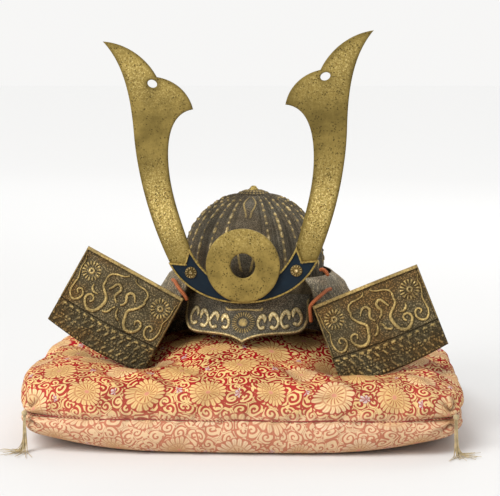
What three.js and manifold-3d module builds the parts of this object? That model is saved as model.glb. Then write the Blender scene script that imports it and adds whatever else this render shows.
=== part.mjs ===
// A small cast-metal kabuto on a brocade cushion, in millimetres.
// X runs to the viewer's right, Y to the back, Z up. The helmet's front faces -Y.
// Every shape is worked out about the bowl's own upright axis, at X = Y = 0, with Z = 0 under
// the cushion. The last lines move the whole group so that its origin is under its middle.
import * as THREE from 'three';
import { mergeVertices } from 'three/addons/utils/BufferGeometryUtils.js';
import Module from 'manifold-3d';

const wasm = await Module();
wasm.setup();

// ---------------------------------------------------------------- driving dimensions
const DEG = Math.PI / 180;
const GAP = 0.3; // left between neighbouring pieces
const SLIVER = 0.04; // details flatter than this are merged after joining

const BOWL = {
  radius: 45.8, centreZ: 102.4, wall: 2.2, // a half sphere
  collarRadius: 46.6, collarBottom: 84, // the plain band under it
  ribs: 28, ribHeight: 1.1, ribHalfDeg: 2.6, // even spacing, less the two at the front
  smoothCrownDeg: 13, // no ribs under the crown ornament
};
const CROWN = { bottomZ: 146.8, radius: 11.2, knobRadius: 3.1, petals: 16 };
const VISOR = {
  radius: 49.2, halfDeg: 53.4, topZ: 88, endSag: 3, slopeDeg: 57.4, wall: 1.8,
  endDrop: 10, drop: 27.7, tipDrop: 6.3, tipWidth: 7.5, rim: 1.3,
};
const GUARD = { wall: 2, frontTopDeg: 43.4, frontLowDeg: 47.2, lip: 0.9, tiltDeg: 2.4, tiltZ: 60, shiftX: 0.8 };
// Outer radius and height where each plate of the neck guard starts, top to bottom.
const GUARD_PLATES = [
  { radius: 52.4, z: 99 }, { radius: 58.6, z: 91.5 }, { radius: 66.4, z: 78 }, { radius: 72.6, z: 67 },
  { radius: 78.8, z: 56 }, { radius: 84.6, z: 46 }, { radius: 89.2, z: 37.2 },
];
const WING = {
  corner: [40.6, -49.4, 81.8], across: [0.904, 0.086, 0.420], down: [0.410, -0.288, -0.865],
  width: 71, panel: 36.3, height: 53.6, wall: 1.8, rim: 1.7, rimHeight: 0.8, belly: 3, bow: 1.5,
};
const DISC = { z: 107, frontY: -60, radius: 23.4, hole: 7.8, wall: 1.6 };
const SOCKET = {
  frontY: -58.1, plate: 1.5, border: 0.9, borderWidth: 1.2, backY: -53.4, back: 1.2, bracketBackY: -47.9,
};
const CREST = { tiltDeg: -1.9, tiltZ: 80, shiftX: 0.6 };
const HORN = { leftLeanDeg: 0.45, leftDeeper: 1.2, wall: 1.7, holeAcross: 6.4, holeUp: 4.8, holeTurnDeg: 20 };
const FLOWER = { radius: 3.7, petals: 12, height: 0.9 };
const LACE = { diameter: 2.4, sides: 8 };
const CUSHION = {
  halfWidth: 131, halfDepth: 94, bow: 6, cornerRound: 4, yawDeg: 4, centre: [-2, -19.5], // seen from above
  topZ: 45, shoulderZ: 37.5, cornerZ: 27, shoulderInset: 2, sag: 3, // sag: lower on its right-hand side
  bulge: 10, bulgeAt: [0, -34], bulgeWidth: 42, // pushed up in front, between the wings
};
// Rings round the cushion's side under its shoulder: height, and how far in from the outline.
const CUSHION_SIDE = [{ z: 22, inset: 0 }, { z: 9, inset: 1.5 }, { z: 0, inset: 11 }];
const TASSEL = { knotZ: 24, head: 2.6, strands: 4, reach: 11, strandRadius: 1.2 };
const PLACE = [2, 19.5, 0]; // from the bowl's axis to the middle of the whole object

// ---------------------------------------------------------------- helpers for closed solids
const rad = (degrees) => degrees * DEG;
const mix = (a, b, t) => a + (b - a) * t;
const clamp01 = (t) => Math.min(1, Math.max(0, t));
const ease = (t) => { const s = clamp01(t); return s * s * (3 - 2 * s); };
const span = (count, from = 0, to = 1) => Array.from({ length: count + 1 }, (_, i) => mix(from, to, i / count));

/** Welds equal points, drops flat triangles and turns the skin so that its faces point out. */
function closed(positions, triangles) {
  const raw = new THREE.BufferGeometry();
  raw.setAttribute('position', new THREE.Float32BufferAttribute(positions, 3));
  raw.setIndex(triangles);
  const welded = mergeVertices(raw, 1e-4);
  const at = welded.getAttribute('position');
  const kept = [];
  let volume = 0;
  const [a, b, c] = [new THREE.Vector3(), new THREE.Vector3(), new THREE.Vector3()];
  for (let i = 0; i < welded.index.count; i += 3) {
    const [p, q, r] = [0, 1, 2].map((k) => welded.index.getX(i + k));
    if (p === q || q === r || r === p) continue;
    kept.push([p, q, r]);
    a.fromBufferAttribute(at, p);
    b.fromBufferAttribute(at, q);
    c.fromBufferAttribute(at, r);
    volume += a.dot(b.cross(c));
  }
  welded.setIndex(kept.flatMap(([p, q, r]) => (volume < 0 ? [p, r, q] : [p, q, r])));
  return welded;
}

/** A closed slab between two surfaces sampled at the same (u, v); loop joins the last column to the first. */
function slab(front, back, us, vs, loop = false) {
  const positions = [];
  const triangles = [];
  const columns = us.length;
  const rows = vs.length;
  for (const surface of [front, back]) {
    for (const v of vs) for (const u of us) positions.push(...surface(u, v));
  }
  const id = (side, i, j) => side * columns * rows + j * columns + (i % columns);
  const quad = (p, q, r, s) => triangles.push(p, q, r, p, r, s);
  const steps = loop ? columns : columns - 1;
  for (let j = 0; j < rows - 1; j++) {
    for (let i = 0; i < steps; i++) {
      quad(id(0, i, j), id(0, i + 1, j), id(0, i + 1, j + 1), id(0, i, j + 1));
      quad(id(1, i, j), id(1, i, j + 1), id(1, i + 1, j + 1), id(1, i + 1, j));
    }
    if (loop) continue;
    quad(id(0, 0, j), id(0, 0, j + 1), id(1, 0, j + 1), id(1, 0, j));
    quad(id(0, steps, j), id(1, steps, j), id(1, steps, j + 1), id(0, steps, j + 1));
  }
  for (let i = 0; i < steps; i++) {
    quad(id(0, i, 0), id(1, i, 0), id(1, i + 1, 0), id(0, i + 1, 0));
    quad(id(0, i, rows - 1), id(0, i + 1, rows - 1), id(1, i + 1, rows - 1), id(1, i, rows - 1));
  }
  return closed(positions, triangles);
}

/** A ridge along a route: rings of equal sides round each point, drawn to a point at both ends. */
function ridge(route, radiusAt, steps, sides, surfaceNormal) {
  const positions = [];
  const triangles = [];
  const curve = new THREE.CatmullRomCurve3(route, false, 'centripetal');
  for (let i = 0; i <= steps; i++) {
    const t = i / steps;
    const at = curve.getPointAt(t);
    const along = curve.getTangentAt(t);
    const up = surfaceNormal(at, t).clone();
    const side = new THREE.Vector3().crossVectors(up, along).normalize();
    up.crossVectors(along, side).normalize();
    for (let k = 0; k < sides; k++) {
      const turn = (2 * Math.PI * k) / sides;
      const ring = at.clone();
      ring.addScaledVector(side, Math.sin(turn) * radiusAt(t)).addScaledVector(up, Math.cos(turn) * radiusAt(t));
      positions.push(...ring.toArray());
    }
  }
  for (let i = 0; i < steps; i++) {
    for (let k = 0; k < sides; k++) {
      const [a, b] = [i * sides + k, i * sides + ((k + 1) % sides)];
      triangles.push(a, b, b + sides, a, b + sides, a + sides);
    }
  }
  for (let k = 1; k < sides - 1; k++) {
    triangles.push(0, k + 1, k, steps * sides, steps * sides + k, steps * sides + k + 1);
  }
  return closed(positions, triangles);
}

/** A three.js geometry as a manifold solid. */
function solid(geometry) {
  const bare = new THREE.BufferGeometry();
  bare.setAttribute('position', geometry.getAttribute('position').clone());
  if (geometry.index) bare.setIndex(geometry.index);
  const welded = mergeVertices(bare, 1e-4);
  const triVerts = new Uint32Array(welded.index.array);
  const vertProperties = new Float32Array(welded.getAttribute('position').array);
  return new wasm.Manifold(new wasm.Mesh({ numProp: 3, vertProperties, triVerts }));
}

/** A manifold solid as a three.js geometry, without the slivers that joining leaves. */
function geometryOf(body) {
  const mesh = body.simplify(SLIVER).getMesh();
  const geometry = new THREE.BufferGeometry();
  geometry.setAttribute('position', new THREE.Float32BufferAttribute(mesh.vertProperties, 3));
  geometry.setIndex(Array.from(mesh.triVerts));
  return geometry;
}

/** Several overlapping geometries joined into one. */
const fuse = (geometries) => geometryOf(geometries.map(solid).reduce((whole, next) => whole.add(next)));

/** A flat outline in the crest's plane, extruded from the front face backwards. */
function plateInCrest(shape, frontY, thickness, curveSegments = 10) {
  const plate = new THREE.ExtrudeGeometry(shape, { depth: thickness, bevelEnabled: false, curveSegments });
  // The shape's own Y becomes up, and its depth runs to the back.
  plate.rotateX(Math.PI / 2);
  plate.translate(0, frontY + thickness, DISC.z);
  return plate;
}

const mirrorX = (geometry) => {
  const twin = geometry.clone().scale(-1, 1, 1);
  const order = Array.from(twin.index ? twin.index.array : twin.getAttribute('position').array.keys());
  if (!twin.index) throw new Error('mirrorX needs an indexed geometry');
  for (let i = 0; i < order.length; i += 3) [order[i + 1], order[i + 2]] = [order[i + 2], order[i + 1]];
  return twin.setIndex(order);
};

// ---------------------------------------------------------------- finishes
const METAL = { metalness: 0.9 };
const FINISH = {
  bronze: { color: 0x6d6250, roughness: 0.55, ...METAL },
  antique: { color: 0x7c6a3f, roughness: 0.5, ...METAL },
  sandedBronze: { color: 0x77705f, roughness: 0.65, ...METAL },
  brass: { color: 0xa88a45, roughness: 0.4, ...METAL },
  enamel: { color: 0x18222f, roughness: 0.5, metalness: 0.1 },
  lacing: { color: 0xb5532f, roughness: 0.8, metalness: 0 },
  brocade: { color: 0xc98a6a, roughness: 0.75, metalness: 0 },
  thread: { color: 0xcdb893, roughness: 0.85, metalness: 0 },
};

function piece(name, geometry, finish) {
  const mesh = new THREE.Mesh(geometry, new THREE.MeshStandardMaterial(FINISH[finish]));
  mesh.name = name;
  return mesh;
}

// ---------------------------------------------------------------- bowl
/** A point on the bowl's round form, before ribs: down 0 is the crown, 1 the equator, 2 the collar's edge. */
function bowlPoint(turnDeg, down, inset) {
  const polar = rad(90 * Math.min(down, 1));
  const collar = Math.max(down - 1, 0);
  const radius = mix((BOWL.radius - inset) * Math.sin(polar), BOWL.collarRadius - inset, collar);
  const z = mix(BOWL.centreZ + (BOWL.radius - inset) * Math.cos(polar), BOWL.collarBottom, collar);
  return [radius * Math.sin(rad(turnDeg)), -radius * Math.cos(rad(turnDeg)), z];
}

function bowlGeometry() {
  const pitch = 360 / BOWL.ribs;
  const ribSamples = [];
  for (let k = 0; k < BOWL.ribs; k++) {
    const middle = (k + 0.5) * pitch;
    ribSamples.push(middle - BOWL.ribHalfDeg, middle + BOWL.ribHalfDeg, middle + pitch / 2);
  }
  const isRib = (turn) => {
    const fromMiddle = Math.abs((((turn % pitch) + pitch) % pitch) - pitch / 2);
    const front = turn < pitch || turn > 360 - pitch;
    return fromMiddle <= BOWL.ribHalfDeg + 0.01 && !front;
  };
  const outer = (turn, down) => {
    const crown = ease((90 * down - BOWL.smoothCrownDeg) / 12);
    const collar = 1 - ease((down - 1) / 0.45);
    return bowlPoint(turn, down, isRib(turn) ? -BOWL.ribHeight * crown * collar : 0);
  };
  const axis = (turn, down) => [0, 0, bowlPoint(0, down, 0)[2]];
  const block = slab(outer, axis, ribSamples, [0, 0.15, 0.3, 0.5, 0.75, 1, 1.35, 2], true);
  const hollowLine = [0.25, 0.5, 0.75, 1, 2].map((down) => bowlPoint(90, down, BOWL.wall));
  const [top, under] = [bowlPoint(0, 0, BOWL.wall)[2], BOWL.collarBottom - 1];
  const outline = [[0, top], ...hollowLine.map(([x, , z]) => [x, z]), [BOWL.collarRadius - BOWL.wall, under], [0, under]];
  const hollow = new THREE.LatheGeometry(outline.map(([x, z]) => new THREE.Vector2(x, -z)), 24);
  hollow.rotateX(-Math.PI / 2);
  const body = geometryOf(solid(block).subtract(solid(hollow)));
  // Two wavy lines stand up on the field above the crest.
  const sway = [1.2, 3.4, 4.6, 4.4, 2.6, 3.2];
  const wave = [-1, 1].map((side) => {
    const route = sway.map((x, k) => {
      const down = mix(0.2, 0.56, k / (sway.length - 1));
      const turn = Math.asin(x / (BOWL.radius * Math.sin(rad(90 * down)))) / DEG;
      return new THREE.Vector3(...bowlPoint(side * turn, down, 0.1));
    });
    const out = (at) => at.clone().sub(new THREE.Vector3(0, 0, BOWL.centreZ)).normalize();
    return ridge(route, () => 0.6, 8, 3, out);
  });
  return fuse([body, ...wave]);
}

function crownRingGeometry() {
  const petalStep = 360 / CROWN.petals;
  const edge = (turn, lift) => 1 - lift * Math.abs(Math.sin(rad((turn * CROWN.petals) / 2)));
  // Radius, height and depth of the petal notches, from the underside outwards and up.
  const profile = [
    { radius: 0, z: 0, notch: 0 }, { radius: 1, z: 0, notch: 0.06 }, { radius: 0.98, z: 1.1, notch: 0.06 },
    { radius: 0.72, z: 1.6, notch: 0 }, { radius: 0.68, z: 2.6, notch: 0.08 }, { radius: 0.36, z: 3.3, notch: 0 },
    { radius: 0, z: 3.3, notch: 0 },
  ];
  const turns = span(CROWN.petals * 2 - 1, 0, 360 - petalStep / 2);
  const positions = [];
  const triangles = [];
  for (const { radius, z, notch } of profile) {
    for (const turn of turns) {
      const reach = CROWN.radius * radius * edge(turn, notch);
      positions.push(reach * Math.sin(rad(turn)), -reach * Math.cos(rad(turn)), CROWN.bottomZ + z);
    }
  }
  const columns = turns.length;
  for (let j = 0; j < profile.length - 1; j++) {
    for (let i = 0; i < columns; i++) {
      const [a, b] = [j * columns + i, j * columns + ((i + 1) % columns)];
      triangles.push(a, b, b + columns, a, b + columns, a + columns);
    }
  }
  const ring = solid(closed(positions, triangles));
  const seat = new THREE.SphereGeometry(BOWL.radius + 2 * GAP, 24, 24, 0, 2 * Math.PI, 0, Math.PI);
  seat.rotateX(Math.PI / 2);
  seat.translate(0, 0, BOWL.centreZ);
  return geometryOf(ring.subtract(solid(seat)));
}

function crownKnobGeometry() {
  const base = CROWN.bottomZ + 3.3 + GAP;
  const r = CROWN.knobRadius;
  const outline = [[0, 0], [r, 0], [r, 0.5], [r * 0.75, 0.9], [r * 0.7, 1.4], [r * 0.4, 2.1], [0, 2.4]];
  const knob = new THREE.LatheGeometry(outline.map(([x, y]) => new THREE.Vector2(x, y)), 12);
  knob.rotateX(Math.PI / 2);
  knob.translate(0, 0, base);
  return knob;
}

// ---------------------------------------------------------------- visor
/** How far the visor hangs down its slope: rounded at both ends, with a point at the middle. */
function visorDrop(s) {
  const x = Math.abs(VISOR.radius * Math.sin(rad(s * VISOR.halfDeg)));
  const round = Math.pow(Math.max(0, 1 - Math.pow(Math.abs(s), 8)), 0.4545);
  return mix(VISOR.endDrop, VISOR.drop, round) + VISOR.tipDrop * Math.exp(-x / VISOR.tipWidth);
}

/** A point on the visor: s runs from -1 to 1 across, along is the distance down the slope, lift is off it. */
function visorPoint(s, along, lift) {
  const turn = rad(s * VISOR.halfDeg);
  const slope = rad(VISOR.slopeDeg);
  const out = along * Math.cos(slope) + lift * Math.sin(slope);
  const z = VISOR.topZ - VISOR.endSag * s * s - along * Math.sin(slope) + lift * Math.cos(slope);
  const spread = Math.sin(turn) * 0.12;
  return [VISOR.radius * Math.sin(turn) + out * spread, -VISOR.radius * Math.cos(turn) - out, z];
}

function visorGeometry() {
  const across = [-1, -0.98, -0.94, -0.88, -0.7, -0.5, -0.3, -0.16, -0.07];
  const columns = [...across, 0, ...across.map((s) => -s).reverse()];
  const front = (s, v) => visorPoint(s, v * visorDrop(s), 0);
  const back = (s, v) => visorPoint(s, v * visorDrop(s), -VISOR.wall);
  const plate = slab(front, back, columns, span(3));
  const off = new THREE.Vector3(0, -Math.sin(rad(VISOR.slopeDeg)), Math.cos(rad(VISOR.slopeDeg)));
  const normal = () => off;
  const route = columns.map((s) => new THREE.Vector3(...visorPoint(s, visorDrop(s) - 0.5, -0.1)));
  const rim = ridge(route, () => VISOR.rim * 0.8, 28, 3, normal);
  const inPlane = (x, along) => {
    const s = Math.asin(x / VISOR.radius) / rad(VISOR.halfDeg);
    return new THREE.Vector3(...visorPoint(s, along, 0));
  };
  const scrolls = [];
  // Middle of each scroll across the visor and down it, and the way that it opens.
  const table = [
    { x: 11.4, along: 19.8, opens: 1 }, { x: 18.4, along: 18.9, opens: -1 },
    { x: 25.6, along: 17.6, opens: 1 }, { x: 32, along: 16, opens: -1 },
  ];
  for (const side of [-1, 1]) {
    for (const { x, along, opens } of table) {
      const points = span(6, 50, 310).map((turn) => inPlane(
        side * (x + opens * 2.9 * Math.cos(rad(turn))), along - 5.2 * Math.sin(rad(turn)),
      ));
      scrolls.push(ridge(points, (t) => mix(1.1, 0.6, t), 6, 3, normal));
    }
  }
  const bar = ridge([-9.5, 0, 9.5].map((x) => inPlane(x, 11.3)), () => 0.7, 3, 3, normal);
  const flower = flowerGeometry(6.3, 16, 0.7, 1.7);
  flower.rotateX(rad(VISOR.slopeDeg - 90));
  flower.translate(...inPlane(0, 20.2).toArray());
  return fuse([plate, rim, bar, flower, ...scrolls]);
}

/** A small flower in the X-Z plane facing -Y: a petal-edged disc with a boss, sunk a little at the back. */
function flowerGeometry(radius, petals, height, bossRadius) {
  const outline = new THREE.Shape();
  for (let k = 0; k < petals * 2; k++) {
    const reach = k % 2 ? radius * 0.84 : radius;
    const turn = (Math.PI * k) / petals;
    outline[k ? 'lineTo' : 'moveTo'](reach * Math.sin(turn), reach * Math.cos(turn));
  }
  const sunk = 0.4;
  const disc = new THREE.ExtrudeGeometry(outline, { depth: height + sunk, bevelEnabled: false });
  disc.rotateX(Math.PI / 2);
  disc.translate(0, sunk, 0);
  const boss = new THREE.SphereGeometry(bossRadius, 6, 4);
  boss.translate(0, -height, 0);
  return fuse([disc, boss]);
}

// ---------------------------------------------------------------- neck guard
const guardRows = () => {
  const rows = [];
  GUARD_PLATES.forEach((row, k) => {
    // Each lower plate starts under the lip of the one above it.
    if (k > 2) rows.push({ radius: row.radius + GUARD.lip, z: row.z + 0.5 });
    rows.push({ radius: row.radius, z: row.z - (k > 2 ? 0.5 : 0) });
  });
  rows[rows.length - 1].radius += GUARD.lip;
  return rows.filter((row, k) => k !== rows.length - 2);
};

function neckGuardGeometry() {
  const rows = guardRows();
  const frontDeg = (z) => mix(GUARD.frontLowDeg, GUARD.frontTopDeg, clamp01((z - 37) / 45));
  const point = (u, row, inset) => {
    const turn = rad(mix(frontDeg(row.z), 360 - frontDeg(row.z), u));
    return [(row.radius - inset) * Math.sin(turn), -(row.radius - inset) * Math.cos(turn), row.z];
  };
  const outer = (u, v) => point(u, rows[v], 0);
  const inner = (u, v) => point(u, rows[v], GUARD.wall + (v > 3 ? GUARD.lip : 0));
  return slab(outer, inner, span(28), rows.map((_, k) => k));
}

// ---------------------------------------------------------------- wings
const WING_ACROSS = new THREE.Vector3(...WING.across).normalize();
const WING_DOWN = new THREE.Vector3(...WING.down).normalize();
const WING_FACE = new THREE.Vector3().crossVectors(WING_DOWN, WING_ACROSS).normalize();

/** A point on the right wing: u across from its inner edge, v down from its top edge, lift off its face. */
function wingPoint(u, v, lift) {
  const bulge = Math.sin((Math.PI * u) / WING.width);
  return new THREE.Vector3(...WING.corner)
    .addScaledVector(WING_ACROSS, u + 0.6)
    .addScaledVector(WING_DOWN, v * (1 + (WING.belly / WING.height) * bulge * (v / WING.height)))
    .addScaledVector(WING_FACE, lift + WING.bow * bulge);
}

// Routes of the raised scrolls on one half of the wing, as distances across and down; the rest is mirrored.
const WING_SCROLLS = [
  { width: 1.05, steps: 12, route: [[32.7, 4], [28.2, 6.7], [22.6, 7.8], [20.6, 12], [21.6, 18], [26, 22],
    [27.6, 27], [25.4, 33], [21, 34.3], [17, 32.4], [15.8, 28.4], [18.8, 27]] },
  { width: 0.8, steps: 8, route: [[2, 6], [2.5, 14], [4, 21], [3.6, 28], [6.3, 33.2], [9.8, 33.2], [12.2, 29.6],
    [10.6, 26], [8, 27]] },
  { width: 0.95, steps: 6, route: [[33.6, 24], [31.2, 19.6], [30.9, 15.2], [29.4, 12.6], [27.2, 14], [26.6, 17.4]] },
  { width: 0.8, steps: 2, route: [[33.2, 26], [31.8, 29.6], [29.6, 31.4]] },
];
const WING_FLOWERS = [{ u: 10.2, v: 13 }, { u: WING.width - 10.2, v: 12.6 }];

function wingGeometry() {
  const { width, panel, height, rim } = WING;
  const us = [0, rim, rim + 0.5, 18, 35.5, 53, width - rim - 0.5, width - rim, width];
  const vs = [0, rim, rim + 0.5, 18, panel - 0.9, panel, panel + 0.9, height];
  const relief = (u, v) => {
    const onRim = v <= rim || ((u <= rim || u >= width - rim) && v < panel);
    if (onRim) return WING.rimHeight;
    return v === panel ? -0.5 : 0;
  };
  const front = (u, v) => wingPoint(u, v, relief(u, v)).toArray();
  const back = (u, v) => wingPoint(u, v, -WING.wall).toArray();
  const parts = [slab(front, back, us, vs)];
  const normal = () => WING_FACE;
  for (const { width: thick, steps, route } of WING_SCROLLS) {
    for (const flip of [false, true]) {
      const points = route.map(([u, v]) => wingPoint(flip ? width - u : u, v, -0.15));
      parts.push(ridge(points, () => thick, steps, 3, normal));
    }
  }
  const turn = new THREE.Matrix4().makeBasis(WING_ACROSS, WING_FACE.clone().negate(), WING_DOWN.clone().negate());
  for (const { u, v } of WING_FLOWERS) {
    const flower = flowerGeometry(5.9, 12, 0.6, 1.8).applyMatrix4(turn);
    parts.push(flower.translate(...wingPoint(u, v, 0).toArray()));
  }
  return fuse(parts);
}

// ---------------------------------------------------------------- crest: disc, socket, flowers and horns
function crestDiscGeometry() {
  const outline = new THREE.Shape().absarc(0, 0, DISC.radius, 0, 2 * Math.PI);
  outline.holes.push(new THREE.Path().absarc(0, 0, DISC.hole, 0, 2 * Math.PI, true));
  return plateInCrest(outline, DISC.frontY, DISC.wall, 18);
}

/** The socket's outline about the disc's centre, from the lowest point round its right arm, as points. */
function socketHalf() {
  const half = new THREE.Path();
  half.moveTo(0, -24.2);
  half.bezierCurveTo(20, -24.2, 39, -15.5, 47.4, 2.6); // the long lower edge
  half.lineTo(37.2, 1.7); // the notch that the horn stands in
  half.lineTo(33.9, 11.4);
  half.quadraticCurveTo(30.4, 3.6, 23.5, -4); // the inner edge, down behind the disc
  half.quadraticCurveTo(14, -12, 0, -13.4);
  return half.getPoints(5);
}

function closedOutline(half) {
  const left = half.slice(1, -1).map((p) => new THREE.Vector2(-p.x, p.y)).reverse();
  return [...half, ...left];
}

/** The same outline moved inwards by an even width. */
function inset(points, width) {
  const count = points.length;
  return points.map((point, k) => {
    const before = points[(k + count - 1) % count];
    const after = points[(k + 1) % count];
    const inward = (from, to) => new THREE.Vector2(-(to.y - from.y), to.x - from.x).normalize();
    const [n1, n2] = [inward(before, point), inward(point, after)];
    const bisector = n1.clone().add(n2).normalize();
    return point.clone().addScaledVector(bisector, Math.min(width / Math.max(bisector.dot(n1), 0.35), 2.6 * width));
  });
}

function crestSocketGeometry() {
  const edge = closedOutline(socketHalf());
  const field = inset(edge, SOCKET.borderWidth);
  const plate = plateInCrest(new THREE.Shape(edge), SOCKET.frontY + SOCKET.border, SOCKET.plate);
  const frame = new THREE.Shape(edge);
  frame.holes.push(new THREE.Path([...field].reverse()));
  const border = plateInCrest(frame, SOCKET.frontY, SOCKET.border + 0.2);
  // Behind the horns' feet a second, plain plate closes the socket; a block joins both to the bowl.
  const rear = new THREE.Shape([[-40, -2], [-34, -12], [0, -21], [34, -12], [40, -2], [0, -12]]
    .map(([x, y]) => new THREE.Vector2(x, y)));
  const back = plateInCrest(rear, SOCKET.backY, SOCKET.back);
  const web = new THREE.Shape([[-10, -18], [10, -18], [10, -13], [-10, -13]].map(([x, y]) => new THREE.Vector2(x, y)));
  const frontPlateY = SOCKET.frontY + SOCKET.border + SOCKET.plate - 0.2;
  const join = plateInCrest(web, frontPlateY, SOCKET.bracketBackY - frontPlateY);
  return fuse([plate, border, back, join]);
}

const HORN_FOOT = [37, 0]; // where each horn stands in the socket, from the disc's centre

function hornGeometry() {
  const outline = new THREE.Shape();
  outline.moveTo(34.2, 13.5);
  outline.bezierCurveTo(40, 32, 46.3, 50, 46.1, 70); // the inner edge, bowed outwards
  outline.bezierCurveTo(46, 84, 42.5, 98, 29.4, 99.6); // up to the inner point
  outline.bezierCurveTo(31.5, 110, 40, 118.2, 51.7, 120.3); // the round shoulder
  outline.bezierCurveTo(56.5, 130, 68, 141.5, 85, 143.2); // the blade
  outline.bezierCurveTo(72, 129, 68.5, 108, 67.3, 86); // the long outer edge
  outline.bezierCurveTo(66.2, 60, 59, 30, 47.4, 4.2);
  outline.lineTo(42, -5); // the foot, hidden in the socket
  outline.lineTo(31, -6);
  outline.closePath();
  const turn = rad(HORN.holeTurnDeg);
  const hole = new THREE.Path().absellipse(54.6, 116.2, HORN.holeAcross / 2, HORN.holeUp / 2, 0, 2 * Math.PI, false, turn);
  outline.holes.push(hole);
  const frontY = SOCKET.frontY + SOCKET.border + SOCKET.plate + GAP;
  const plate = plateInCrest(outline, frontY, HORN.wall, 8).translate(-HORN_FOOT[0], 0, -DISC.z - HORN_FOOT[1]);
  return geometryOf(solid(plate));
}

function socketFlowerGeometry() {
  const flower = flowerGeometry(FLOWER.radius, FLOWER.petals, FLOWER.height, 1.2);
  const face = SOCKET.frontY + SOCKET.border - GAP - 0.4;
  return flower.translate(33.4, face, DISC.z - 4);
}

// ---------------------------------------------------------------- lacing
function laceGeometry(points) {
  const section = new THREE.Shape();
  for (let k = 0; k < LACE.sides; k++) {
    const turn = (2 * Math.PI * k) / LACE.sides;
    section[k ? 'lineTo' : 'moveTo']((LACE.diameter / 2) * Math.cos(turn), (LACE.diameter / 2) * Math.sin(turn));
  }
  const route = new THREE.CatmullRomCurve3(points.map((p) => new THREE.Vector3(...p)), false, 'centripetal');
  const steps = Math.max(3, Math.round(route.getLength() / (2.2 * LACE.diameter)));
  return new THREE.ExtrudeGeometry(section, { steps, extrudePath: route });
}

// Routes on the right: from a hole in the neck guard along its front edge and down past the visor's end,
// and over the guard's top edge; steps of the first are kept on the left, where it is cut short.
const FRONT_LACE = [[51.6, -32, 91.4], [49.2, -37, 91], [46.6, -42.8, 89.2], [43.6, -46.2, 86.6],
  [40.8, -47, 83.6], [39.5, -46.2, 80.6], [39.9, -44.8, 76], [40.4, -42.2, 70.8]];
const LACES = {
  lace_right: FRONT_LACE,
  lace_left: FRONT_LACE.slice(0, 6).map(([x, y, z]) => [-x, y, z]),
  lace_back_right: [[43.2, -24.3, 101.7], [45.1, -25.4, 102.7], [47.5, -26.7, 101.4], [49.2, -27.7, 98.8]],
};
LACES.lace_back_left = LACES.lace_back_right.map(([x, y, z]) => [-x, y, z]);

// ---------------------------------------------------------------- cushion
const yaw = rad(CUSHION.yawDeg);

/** Where a point over the ground lies on the cushion, as parts of its half width and half depth. */
function cushionShare(x, y) {
  const [dx, dy] = [x - CUSHION.centre[0], y - CUSHION.centre[1]];
  return [(dx * Math.cos(yaw) + dy * Math.sin(yaw)) / (CUSHION.halfWidth + CUSHION.bow),
    (-dx * Math.sin(yaw) + dy * Math.cos(yaw)) / (CUSHION.halfDepth + CUSHION.bow)];
}

/** A point on the ground: a and b are shares of the half sizes, inset is measured in from the outline. */
function cushionPlace(a, b, inset = 0) {
  const corner = CUSHION.cornerRound * Math.abs(a * b) ** 8;
  const bowed = (share) => CUSHION.bow * (1 - share ** 4) - corner - inset;
  const [across, back] = [a * (CUSHION.halfWidth + bowed(b)), b * (CUSHION.halfDepth + bowed(a))];
  return [CUSHION.centre[0] + across * Math.cos(yaw) - back * Math.sin(yaw),
    CUSHION.centre[1] + across * Math.sin(yaw) + back * Math.cos(yaw)];
}

/** The highest that the cloth may stand under the neck guard's edge and the wings' lower corners. */
function helmetCeiling(x, y) {
  const edge = GUARD_PLATES[GUARD_PLATES.length - 1];
  const lean = x * Math.tan(rad(GUARD.tiltDeg));
  const [clearance, halfTrough, bank] = [2.4, 10.5, 0.8];
  const behindFront = Math.max(0, Math.abs(Math.atan2(x, y) / DEG) - 180 + GUARD.frontLowDeg) * 1.5;
  const fromRing = Math.max(0, Math.abs(Math.hypot(x, y) - edge.radius) - halfTrough) + behindFront;
  const [wingX, , wingZ] = wingPoint(0, WING.height, 0).toArray();
  const [wingEndX, , wingEndZ] = wingPoint(WING.width, WING.height, 0).toArray();
  const outwards = Math.max(0, Math.abs(x) - wingX);
  const fromWing = Math.max(0, Math.abs(y + 64) - halfTrough) + Math.max(0, wingX - halfTrough - Math.abs(x));
  const wingEdge = wingZ + (outwards * (wingEndZ - wingZ)) / (wingEndX - wingX);
  return Math.min(edge.z + bank * fromRing, wingEdge + bank * fromWing) - lean - clearance;
}

function cushionTop(x, y) {
  const shares = cushionShare(x, y);
  const [a, b] = shares.map((share) => Math.min(1, Math.abs(share)));
  const crown = Math.sqrt((1 - a ** 4) * (1 - b ** 4));
  const shoulder = mix(CUSHION.shoulderZ, CUSHION.cornerZ, (a * b) ** 4);
  const [bx, by] = CUSHION.bulgeAt;
  const bulge = CUSHION.bulge * Math.exp(-(((x - bx) ** 2 + (y - by) ** 2) / CUSHION.bulgeWidth ** 2));
  const puffed = mix(shoulder - CUSHION.sag * shares[0], CUSHION.topZ, crown) + bulge * crown;
  return Math.min(puffed, helmetCeiling(x, y));
}

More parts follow.
